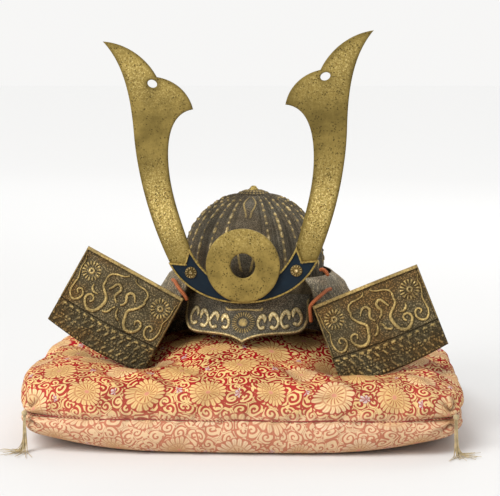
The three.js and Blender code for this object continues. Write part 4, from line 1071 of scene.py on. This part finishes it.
def build_horns(s):
    """A horn from Bezier curves, oval hole; painted shade at edges, painted reflection on rubbed brass in its lower
    third.
    """
    outline = curves((34.2, 13.5), ((40, 32), (46.3, 50), (46.1, 70), 44), ((46, 84), (42.5, 98), (29.4, 99.6), 30),
                     ((31.5, 110), (40, 118.2), (51.7, 120.3), 26), ((56.5, 130), (68, 141.5), (85, 143.2), 34),
                     ((72, 129), (68.5, 108), (67.3, 86), 44), ((66.2, 60), (59, 30), (47.4, 4.2), 60),
                     ((45.6, 1.1), (43.8, -1.9), (42, -5), 6), ((38.3, -5.3), (34.6, -5.7), (31, -6), 6),
                     ((32, 0.5), (33.1, 7), (34.2, 13.5), 10))
    t, c, sn = around(36), math.cos(math.radians(20)), math.sin(math.radians(20))
    oval = np.stack([3.2 * np.cos(t), 2.4 * np.sin(t)], -1) @ [[c, sn], [-sn, c]] + [54.6, 116.2]

    def marks(x, y, distance):
        # A painted reflection over rubbed brass in the lower third, weaker near the top; painted shade at the outline.
        zone = np.exp(-((y - 36) / 22) ** 2) + 0.5 * np.exp(-((y - 124) / 18) ** 2)
        return {"polish": zone * ease((distance - 0.5) / 3), "edge": ease((1.2 - distance) / 1.2)}

    def leaning(side, lean, deeper):
        def place(x, y, depth):
            out, c, sn = side * (x - HORN_FOOT), math.cos(lean), math.sin(lean)
            return tilted(np.stack([side * HORN_FOOT + out * c + y * sn, -55.4 + depth,
                                    DISC_Z - deeper + y * c - out * sn], -1), CREST_TILT)
        return place

    return [(flat_plate(f"horn_{name}_plate", [outline, oval], leaning(side, lean, deeper), bevelled(0.4),
                        [0.14, 0.4, 1.3], s["horn_wall"], pitch=1.9, values=marks,
                        finish=old_brass(f"Horn_brass_{name}", 0.76)), [f"horn_{name}"], "old_brass")
            for side, name, lean, deeper in ((1, "right", 0.0, 0.0), (-1, "left", math.radians(0.45), 1.2))]


# ------------------------------------------------------------------ the lacing
FRONT_LACE = [(51.6, -32, 91.4), (49.2, -37, 91), (46.6, -42.8, 89.2), (43.6, -46.2, 86.6), (40.8, -47, 83.6),
              (39.5, -46.2, 80.6), (39.9, -44.8, 76), (40.4, -42.2, 70.8)]
BACK_LACE = [(43.2, -24.3, 101.7), (45.1, -25.4, 102.7), (47.5, -26.7, 101.4), (49.2, -27.7, 98.8)]


def build_laces(s):
    """A braided tube along each route, its radius drawn in at both ends; the front one is shorter on the left."""
    finish, sides, end = braided_cord("Orange_cord"), 24, 0.9
    pieces = []
    for name, route in (("right", FRONT_LACE), ("left", mirrored(FRONT_LACE[:6])), ("back_right", BACK_LACE),
                        ("back_left", mirrored(BACK_LACE))):
        line, turn = smooth_route(route, 90), around(sides)
        distance = distances(line)
        taper = dome(clip01(1 - distance / end)) * dome(clip01(1 - (distance[-1] - distance) / end))
        wave = distance[:, None] * 1.1 * TAU / 2
        twist = 0.06 * np.maximum(np.sin(wave + turn * 3), np.sin(wave - turn * 3))
        radius = (s["lace_radius"] * 0.98 + twist) * np.clip(taper, 0.08, 1)[:, None]
        rings = tube(line, *path_frames(np.gradient(line, axis=0)), radius, turn)
        j, i = np.meshgrid(np.arange(len(line) - 1), np.arange(sides), indexing="ij")
        uv = np.stack([np.stack([distance[j + dj], (i + di) / sides], -1)
                       for dj, di in ((0, 0), (0, 1), (1, 1), (1, 0))], 2).reshape(-1, 4, 2)
        piece = round_body(f"lace_{name}_braid", tilted(rings, GUARD_TILT), finish=finish, uv=uv)
        pieces.append((piece, [f"lace_{name}"], "orange_lacing"))
    return pieces


# ------------------------------------------------------------------ the cushion
YAW = math.radians(4)
YAW_COS, YAW_SIN = math.cos(YAW), math.sin(YAW)
CUSHION_MIDDLE = np.array([-3.0, -19.5])
BOW = 6  # how far the sides bow out between the corners
# Share of the way down the side, and how far in from the outline: two lobes pinched at the seam.
SEAM_SHARE = 0.5
SIDE_PROFILE = [(0.1, 0.9), (0.22, -0.2), (0.34, -0.1), (0.43, 0.8), (SEAM_SHARE, 2.3), (0.57, 0.8), (0.67, -0.1),
                (0.79, 0.2), (0.9, 2.0), (0.97, 5.4), (1.0, 11.0)]
SEAM_ROW = [share for share, _ in SIDE_PROFILE].index(SEAM_SHARE) + 1
LOWER_LOBE = 18  # cloth above this height meets the helmet


def turned_out(across, back, middle=(0, 0)):
    """Distances along the cushion's own sides, from a middle, as places over the ground."""
    return middle[0] + across * YAW_COS - back * YAW_SIN, middle[1] + across * YAW_SIN + back * YAW_COS


def cushion_place(a, b, inset, s):
    """Shares of the half sizes as distances along the cushion's sides, and as a point over the ground."""
    corner = 4 * np.abs(a * b) ** 8
    across = a * (s["half_width"] + BOW * (1 - b ** 4) - corner - inset)
    back = b * (s["half_depth"] + BOW * (1 - a ** 4) - corner - inset)
    return across, back, *turned_out(across, back, CUSHION_MIDDLE)


def cushion_sides(x, y, s):
    """Distances of points over the ground along the cushion's sides, and their shares of the half sizes."""
    dx, dy = x - CUSHION_MIDDLE[0], y - CUSHION_MIDDLE[1]
    side, depth = dx * YAW_COS + dy * YAW_SIN, dy * YAW_COS - dx * YAW_SIN
    return side, depth, side / (s["half_width"] + BOW), depth / (s["half_depth"] + BOW)


def helmet_ceiling(x, y):
    """The lowest of the neck guard's rim and the wings' lower edges over the cloth, rising away from both."""
    rise, clearance = 0.95, 1.1
    behind = np.clip(np.degrees(np.abs(np.arctan2(x, y))) - 180 + 47.2, 0, None) * 1.3
    ring = np.clip(np.abs(np.hypot(x, y) - 88.6) - 3.2, 0, None) + behind
    inner, outer = wing_point(np.array([0.0, WING_WIDTH]), np.array([WING_HEIGHT] * 2), np.zeros(2))
    along = np.clip((np.abs(x) - inner[0]) / (outer[0] - inner[0]), 0, None)
    wing = np.hypot(np.clip(np.abs(y + 63.5) - 2.6, 0, None), np.clip(inner[0] - 3 - np.abs(x), 0, None))
    edge = mix(inner[2], outer[2], along) - 9.2 * clip01(along * (1 - along))
    lean = x * math.tan(math.radians(GUARD_TILT[0]))
    return np.minimum(37.2 + rise * ring, edge + rise * wing) - lean - clearance


def cushion_top(x, y, s):
    """Height of the top: a puffed crown with a bulge in front, kept under the helmet by a smooth minimum."""
    _, _, side, depth = cushion_sides(x, y, s)
    a, b = clip01(np.abs(side)), clip01(np.abs(depth))
    crown = np.sqrt((1 - a ** 4) * (1 - b ** 4))
    shoulder = mix(37.5, 27.0, (a * b) ** 4) - 3 * side
    bulge = 10 * np.exp(-(x ** 2 + (y + 34) ** 2) / 42 ** 2)
    lumps = 0.5 * np.sin(x * 0.093 + 1) * np.sin(y * 0.111) + 0.35 * np.sin(x * 0.21 + y * 0.17)
    puffed = mix(shoulder, s["top"], crown) + bulge * crown + lumps * crown
    ceiling, soft = helmet_ceiling(x, y), 2.2
    return np.minimum(-np.logaddexp(-puffed / soft, -ceiling / soft) * soft, ceiling)


def corners(grid, ahead):
    """The four corners of every face between two columns' values, as rows x faces x 4."""
    return np.stack([grid[:-1], grid[1:], ahead[1:], ahead[:-1]], 2)


def build_cushion(s):
    """Top and underside are grids over the outline; rings down the side follow a two-lobed section.

    The cover is blown up as cloth between its seam and what presses on it, then made smooth and gathered.
    """
    columns, rows = 53, 41
    a, b = np.meshgrid(*(mix(np.linspace(-1, 1, n), np.sin(np.linspace(-1, 1, n) * np.pi / 2), 0.3)
                         for n in (columns, rows)))
    across, back, x, y = cushion_place(a, b, 2.0, s)
    top = np.stack([x, y, cushion_top(x, y, s)], -1)
    loop = grid_border(rows, columns)
    edge, la, lb = top.reshape(-1, 3)[loop], a.ravel()[loop], b.ravel()[loop]
    # Between the shoulder and the floor the seam is level all round.
    rings = np.array([np.stack([*cushion_place(la, lb, inset, s)[2:], np.where(
        share < SEAM_SHARE, mix(edge[:, 2], s["seam"], share / SEAM_SHARE),
        mix(s["seam"], 0, (share - SEAM_SHARE) / (1 - SEAM_SHARE)))], -1) for share, inset in SIDE_PROFILE])
    under = np.stack([*cushion_place(a, b, SIDE_PROFILE[-1][1], s)[2:], 0 * a], -1)
    round_edge, levels, n_top = len(loop), len(rings), columns * rows
    n_side = (levels - 1) * round_edge
    points = np.vstack([top.reshape(-1, 3), rings[:-1].reshape(-1, 3), under.reshape(-1, 3)])
    ids = np.vstack([loop, n_top + np.arange(n_side).reshape(levels - 1, round_edge), n_top + n_side + loop])
    face = grid_quads(rows, columns)
    side_quads = corners(ids[..., None], np.roll(ids, -1, 1)[..., None]).reshape(-1, 4)

    # The cloth's own measure: flat over the top and carried on down to the seam; the band below has its own.
    flat = np.stack([across, back], -1).reshape(-1, 2)
    outwards = unit(np.stack([la * np.abs(la) ** 7, lb * np.abs(lb) ** 7], -1))
    drop = np.linalg.norm(np.diff(np.concatenate([edge[None], rings]), axis=0), axis=2)
    drop = np.vstack([0 * la, np.cumsum(drop, 0)])
    upper = flat[loop] + outwards * drop[..., None]
    steps = np.linalg.norm(edge - np.roll(edge, 1, 0), axis=1)
    band = np.stack([np.broadcast_to(np.cumsum(steps), drop.shape), -drop], -1)
    ahead = np.stack([band[..., 0] + np.roll(steps, -1), np.roll(band[..., 1], -1, 1)], -1)
    uv_side = np.where((np.arange(levels) < SEAM_ROW)[:, None, None, None],
                       corners(upper, np.roll(upper, -1, 1)), corners(band, ahead))
    uv = np.concatenate([flat[face], uv_side.reshape(-1, 4, 2), flat[face][:, ::-1]])

    def over_all(grid):
        """A grid's values at every point: the top, the border once for each ring, the underside."""
        return np.concatenate([grid.ravel(), np.tile(grid.ravel()[loop], levels - 1), grid.ravel()])

    # pale is a painted sheen: the silk washes out lower down the side, fully below the seam, and partly over the front
    # half.
    height, facing = points[:, 2], ease((10 - over_all(back)) / 90)
    pale = clip01(0.95 * ease((30 - height) / 11) + 0.3 * facing * ease((46 - height) / 10))
    piece = as_object("cushion_cover", points, np.vstack([face, side_quads, face[:, ::-1] + n_top + n_side]), None,
                      {"pale": pale}, finish=brocade("Silk_brocade", s["flower"]), uv=uv, smooth=None)
    # Held still: the seam, the underside, the corners and whatever the helmet presses on.
    under_helmet = ease((6 - (helmet_ceiling(x, y) - top[..., 2]).ravel()) / 5)
    held = np.concatenate([under_helmet, np.zeros(n_side), np.ones(n_top)])
    held[ids[[SEAM_ROW, -2]]] = 1
    held = clip01(held + over_all(np.abs(a * b)) ** 8)
    blow_up(piece, held)
    crease_loop(piece.data, ids[SEAM_ROW], 0.9)
    smoother = piece.modifiers.new("smoother", "SUBSURF")
    smoother.levels = smoother.render_levels = 2
    piece.data = bpy.data.meshes.new_from_object(piece.evaluated_get(bpy.context.evaluated_depsgraph_get()))
    piece.modifiers.clear()
    gather(piece.data, s)
    return [(piece, ["cushion"], "brocade"), (stitched_seam(rings[SEAM_ROW - 1]), [], "brocade")]


def crease_loop(mesh, ring, amount):
    """Keeps a loop of edges sharp when the mesh is made smooth."""
    ends = np.zeros(2 * len(mesh.edges), int)
    mesh.edges.foreach_get("vertices", ends)
    add_values(mesh, "crease_edge", np.isin(ends.reshape(-1, 2), ring).all(1) * amount, domain="EDGE")


def coordinates(mesh):
    """The mesh's points in millimetres about the bowl's axis."""
    flat = np.zeros(3 * len(mesh.vertices), np.float32)
    mesh.vertices.foreach_get("co", flat)
    return flat.reshape(-1, 3).astype(float) / MM - AXIS


def set_coordinates(mesh, points):
    mesh.vertices.foreach_set("co", ((points + AXIS) * MM).astype(np.float32).ravel())
    mesh.update()


def blow_up(piece, held, reach=7.0, frames=20):
    """Cloth under pressure from inside for some frames, held where the weights are 1; none moves past reach."""
    group = piece.vertex_groups.new(name="held")
    levels = np.round(held, 1)
    for level in np.unique(levels[levels > 0]):
        group.add(np.flatnonzero(levels == level).tolist(), float(level), "REPLACE")
    settings = piece.modifiers.new("cloth", "CLOTH").settings
    settings.effector_weights.gravity = 0
    for title, value in dict(quality=6, mass=0.15, time_scale=1.0, tension_stiffness=14, compression_stiffness=14,
                             shear_stiffness=6, bending_stiffness=0.5, use_pressure=True, uniform_pressure_force=4.0,
                             shrink_min=-0.035, vertex_group_mass="held").items():
        setattr(settings, title, value)
    scene = bpy.context.scene
    for step in range(1, frames + 1):
        scene.frame_set(step)
    start = coordinates(piece.data)
    moved = coordinates(piece.evaluated_get(bpy.context.evaluated_depsgraph_get()).to_mesh()) - start
    distance = np.linalg.norm(moved, axis=1, keepdims=True) + 1e-9
    moved *= reach * np.tanh(distance / reach) / distance
    piece.modifiers.clear()
    piece.vertex_groups.clear()
    scene.frame_set(1)
    set_coordinates(piece.data, start + moved * (1 - held)[:, None])


def gather(mesh, s):
    """Pleats in from the seam, folds out from each corner, painted shade in corner slits and under the helmet; no cloth
    in metal or floor.
    """
    points = coordinates(mesh)
    side, depth, a, b = cushion_sides(points[:, 0], points[:, 1], s)
    along = np.where(np.abs(a) > np.abs(b), depth, side)
    to_side, to_back = s["half_width"] - np.abs(side), s["half_depth"] - np.abs(depth)
    above_seam = points[:, 2] - s["seam"]
    near = np.exp(-(above_seam / 6.5) ** 2) * ease((np.maximum(np.abs(a), np.abs(b)) - 0.9) / 0.08)
    pleats = np.sin(along * TAU / 8.2 + 2 * a) + 0.7 * np.sin(along * TAU / 5.1 + 1.3 + 3 * b)
    from_corner = np.hypot(np.hypot(to_side, to_back), above_seam)
    corner_folds = np.cos(np.arctan2(above_seam, np.maximum(to_side, to_back) + 1) * 8)
    push = 0.34 * pleats * near - 1.8 * np.exp(-(from_corner / 17) ** 2) * corner_folds
    outwards = unit(np.stack([np.sign(a) * np.abs(a) ** 8, np.sign(b) * np.abs(b) ** 8], -1), 1e-9)
    points[:, :2] += push[:, None] * np.stack(turned_out(*outwards.T), -1)
    # Pinched corners lift off the floor, and the slits between their pleats get painted shade.
    lifted = np.exp(-((to_side + to_back) / 46) ** 2) * np.clip(s["seam"] - points[:, 2], 0, None)
    points[:, 2] += 0.42 * lifted
    slits = clip01(corner_folds - 0.6) / 0.4 * np.exp(-(from_corner / 14) ** 4)
    ceiling = helmet_ceiling(points[:, 0], points[:, 1])
    above = points[:, 2] > LOWER_LOBE
    # Cloth close under the helmet gets painted shade.
    under_helmet = 0.45 * np.exp(-(np.clip(ceiling - points[:, 2], 0, None) / 7) ** 2) * above
    add_values(mesh, "fold", np.maximum(slits, under_helmet))
    points[above, 2] = np.minimum(points[above, 2], ceiling[above])
    points[:, 2] = np.maximum(points[:, 2], 0.0)
    set_coordinates(mesh, points)


def stitched_seam(line):
    """A thin cord round the cushion whose radius swells with every stitch."""
    closed, up = np.vstack([line, line[:1]]), np.array([0, 0, 1.0])
    distance = distances(closed)
    even = np.linspace(0, distance[-1], 2400, endpoint=False)
    path = np.stack([np.interp(even, distance, closed[:, k]) for k in range(3)], -1)
    side, _ = path_frames(np.roll(path, -1, 0) - np.roll(path, 1, 0), up)
    path = path + side * 0.5 + 0.35 * up * np.sin(even * 0.11)[:, None]
    turn, even = around(8), even[:, None]
    radius = 0.34 + 0.14 * np.abs(np.sin(even * np.pi / 2.6 + turn * 0.5))
    return ring_body("cushion_seam", tube(path, side, up, radius, turn),
                     {"stitch": 0.5 + 0.5 * np.sin(even * TAU / 2.2 + turn)}, finish=seam_thread("Seam_thread"))


# ------------------------------------------------------------------ the tassels
KNOT_Z, KNOT_RADIUS, KNOT_CLEAR = 24.0, 1.75, 3.2


def build_tassels(s):
    """Each thread is a tube: it leaves the knot, falls to the ground and runs outwards with a random curl."""
    finish, count, samples, sides = tassel_thread("Cream_thread"), s["threads"], 22, 5
    t, one = np.linspace(0, 1, samples)[None, :], (count, 1)
    head_rows, head_columns = 34, 40
    pieces = []
    for number, (name, a, b) in enumerate((("front_left", -1, -1), ("front_right", 1, -1), ("back_left", -1, 1),
                                           ("back_right", 1, 1))):
        rng = np.random.default_rng(SEED + 10 + number)
        outward = math.atan2(b, a) + YAW
        x, y = cushion_place(np.float64(a), np.float64(b), 0.0, s)[2:]
        knot = np.array([x + KNOT_CLEAR * math.cos(outward), y + KNOT_CLEAR * math.sin(outward), KNOT_Z])
        heading = outward + rng.uniform(-1.25, 1.25, count)[:, None]
        reach = rng.uniform(5, 17, count)[:, None]
        start = rng.uniform(-1, 1, (count, 2)) * 0.8
        out = reach * (0.12 * t + 0.88 * ease((t - 0.3) / 0.7) ** 1.2)
        curl = rng.uniform(0.3, 1.6, one) * np.sin(t * rng.uniform(3, 8, one) + rng.uniform(0, TAU, one)) * t
        lay = rng.uniform(0.35, 1.6, one)
        z = mix(KNOT_Z - 0.6, lay, ease(t / 0.62) ** 0.85)
        z = np.maximum(z + 0.5 * np.sin(t * 9 + rng.uniform(0, TAU, one)) * t * (1 - t), 0.35)
        x, y = (knot[k] + start[:, k:k + 1] * (1 + 0.5 * t) for k in (0, 1))
        path = np.stack([x + out * np.cos(heading) - curl * np.sin(heading),
                         y + out * np.sin(heading) + curl * np.cos(heading), z], -1)
        radius = (rng.uniform(0.16, 0.24, one) * (1 - 0.5 * t ** 3))[..., None]
        threads = tube(path, *path_frames(np.gradient(path, axis=1), (0.05, 0.03, 1.0)), radius, around(sides))
        offsets = np.arange(count)[:, None, None] * samples * sides
        quads = (grid_quads(samples, sides, wrap=True)[None] + offsets).reshape(-1, 4)
        tip = np.array([(0, k + 1, k) for k in range(1, sides - 1)])
        tips = (np.vstack([tip, tip[:, [0, 2, 1]] + (samples - 1) * sides])[None] + offsets).reshape(-1, 3)
        # The knot: a round head bound by a few turns of thread.
        lat, lon = round_grid(np.linspace(0.05, np.pi - 0.05, head_rows), head_columns)
        size = KNOT_RADIUS * (1 + 0.07 * np.abs(np.sin(lat * 9 + lon))) * mix(0.82, 1.0, np.sin(lat))
        head = knot + np.stack([size * np.sin(lat) * np.cos(lon), size * np.sin(lat) * np.sin(lon),
                                1.05 * size * np.cos(lat)], -1)
        begin = count * samples * sides
        ends = begin + head.size // 3
        ring = begin + np.arange(head_columns)
        fans = np.vstack([fan(ring, ends), fan(ring[::-1] + lat.size - head_columns, ends + 1)])
        points = np.vstack([threads.reshape(-1, 3), head.reshape(-1, 3), head[0].mean(0)[None], head[-1].mean(0)[None]])
        piece = as_object(f"tassel_{name}_threads", points,
                          np.vstack([quads, grid_quads(head_rows, head_columns, wrap=True, first=begin)[:, ::-1]]),
                          np.vstack([tips, fans]), finish=finish)
        pieces.append((piece, [f"tassel_{name}"], "cream_thread"))
    return pieces


# ------------------------------------------------------------------ the stage
def build_stage():
    """A pale floor, soft lights from both sides and above, and the camera."""
    floor, size = bpy.data.meshes.new("floor"), 60.0
    floor.from_pydata([(-size, -size, 0), (size, -size, 0), (size, size, 0), (-size, size, 0)], [], [(0, 1, 2, 3)])
    f = Finish("Pale_floor", Roughness=0.9)
    # Painted darker near the middle, where the lights fall stronger, so that the floor reads evenly bright.
    far = f.vector("LENGTH", f.place(), output="Value").between(400, 2100)
    floor.materials.append(f.feed(f.blend(far, (0.745, 0.742, 0.735), (0.99, 0.99, 0.985))))
    linked("floor", floor)

    scene = bpy.context.scene
    scene.view_settings.view_transform = "Standard"
    world = scene.world = scene.world or bpy.data.worlds.new("Studio")
    world.use_nodes = True
    nodes, links = world.node_tree.nodes, world.node_tree.links
    background = nodes["Background"]
    background.inputs["Color"].default_value = (1.0, 0.995, 0.985, 1)
    # The backdrop is white where it is seen and dimmer where it only lights the metal.
    seen, strength = nodes.new("ShaderNodeLightPath"), nodes.new("ShaderNodeMapRange")
    strength.inputs["To Min"].default_value, strength.inputs["To Max"].default_value = 0.5, 0.93
    links.new(seen.outputs["Is Camera Ray"], strength.inputs["Value"])
    links.new(strength.outputs["Result"], background.inputs["Strength"])
    aim = Vector((0, 0, 0.08))
    for name, kind, place, size, power in (("key", "SUN", (-0.55, -0.75, 1.35), math.radians(30), 1.75),
                                           ("softbox", "AREA", (-1.1, -1.15, 0.8), 0.7, 13.0),
                                           ("fill", "AREA", (1.1, -0.8, 0.7), 0.8, 2.0),
                                           ("back", "AREA", (0.3, 1.0, 1.1), 1.0, 5.0)):
        light = bpy.data.lights.new(name, kind)
        setattr(light, "angle" if kind == "SUN" else "size", size)
        light.energy = power
        lamp = linked(name, light)
        lamp.location = place
        lamp.rotation_euler = (aim - Vector(place)).to_track_quat("-Z", "Y").to_euler()

    camera = bpy.data.cameras.new("camera")
    camera.sensor_width, camera.lens = 36.0, 104.5
    camera.clip_start, camera.clip_end = 0.05, 20
    view = scene.camera = linked("camera", camera)
    view.location = (np.array([104.2, -954.8, 229.4]) + AXIS) * MM
    view.rotation_euler = (math.radians(90 - 7.03), 0, math.radians(6.37))


# ------------------------------------------------------------------ operators and panel
def settle(pieces):
    """Rides every piece on the one body, hides the parts that it stands for and gives the operator's result."""
    for piece, nodes, slot in pieces:
        if nodes:
            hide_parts(*nodes)
        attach(piece, "root")
    return {"FINISHED"}


class BuildBowl(bpy.types.Operator):
    """Build the ribbed bowl"""
    bl_idname, bl_label = "kabuto.bowl", "Bowl"

    def execute(self, context):
        return settle(build_bowl(sizes("kabuto_bowl")))


class BuildCrown(bpy.types.Operator):
    """Build the crown's flower and knob"""
    bl_idname, bl_label = "kabuto.crown", "Crown"

    def execute(self, context):
        return settle(build_crown())


class BuildVisor(bpy.types.Operator):
    """Build the visor with its scrolls"""
    bl_idname, bl_label = "kabuto.visor", "Visor"

    def execute(self, context):
        return settle(build_visor(sizes("kabuto_plates")))


class BuildNeckGuard(bpy.types.Operator):
    """Build the plates of the neck guard"""
    bl_idname, bl_label = "kabuto.neck_guard", "Neck guard"

    def execute(self, context):
        return settle(build_neck_guard())


class BuildWings(bpy.types.Operator):
    """Build both side wings"""
    bl_idname, bl_label = "kabuto.wings", "Wings"

    def execute(self, context):
        return settle(build_wings(sizes("kabuto_plates")))


class BuildCrest(bpy.types.Operator):
    """Build the crest's disc, socket and flowers"""
    bl_idname, bl_label = "kabuto.crest", "Crest"

    def execute(self, context):
        return settle(build_crest(sizes("kabuto_plates")))


class BuildHorns(bpy.types.Operator):
    """Build both horns"""
    bl_idname, bl_label = "kabuto.horns", "Horns"

    def execute(self, context):
        return settle(build_horns(sizes("kabuto_plates")))


class BuildLaces(bpy.types.Operator):
    """Build the lacing cords"""
    bl_idname, bl_label = "kabuto.laces", "Laces"

    def execute(self, context):
        return settle(build_laces(sizes("kabuto_plates")))


class BuildCushion(bpy.types.Operator):
    """Build the cushion and its seam"""
    bl_idname, bl_label = "kabuto.cushion", "Cushion"

    def execute(self, context):
        return settle(build_cushion(sizes("kabuto_cushion")))


class BuildTassels(bpy.types.Operator):
    """Build the four tassels"""
    bl_idname, bl_label = "kabuto.tassels", "Tassels"

    def execute(self, context):
        return settle(build_tassels(sizes("kabuto_cushion")))


class BuildStage(bpy.types.Operator):
    """Set the floor, the lights and the camera"""
    bl_idname, bl_label = "kabuto.stage", "Stage"

    def execute(self, context):
        build_stage()
        return {"FINISHED"}


OPERATORS = (BuildStage, BuildBowl, BuildCrown, BuildVisor, BuildNeckGuard, BuildWings, BuildCrest, BuildHorns,
             BuildLaces, BuildCushion, BuildTassels)


class KabutoPanel(bpy.types.Panel):
    """Sizes, colours and build steps of the helmet ornament"""
    bl_idname, bl_label = "VIEW3D_PT_kabuto", "Helmet Ornament"
    bl_space_type, bl_region_type, bl_category = "VIEW_3D", "UI", "Helmet"

    def draw(self, context):
        for group, kind in GROUPS.items():
            box = self.layout.box()
            for name in kind.__annotations__:
                box.prop(getattr(context.scene, group), name)
        for step in OPERATORS:
            self.layout.operator(step.bl_idname)


def register():
    for kind in (*GROUPS.values(), *OPERATORS, KabutoPanel):
        bpy.utils.register_class(kind)
    for name, kind in GROUPS.items():
        setattr(bpy.types.Scene, name, PointerProperty(type=kind))


def unregister():
    for name in GROUPS:
        delattr(bpy.types.Scene, name)
    for kind in (KabutoPanel, *reversed(OPERATORS), *reversed(GROUPS.values())):
        bpy.utils.unregister_class(kind)


def main():
    register()
    for step in OPERATORS:
        group, name = step.bl_idname.split(".")
        getattr(getattr(bpy.ops, group), name)()


if __name__ == "__main__":
    main()
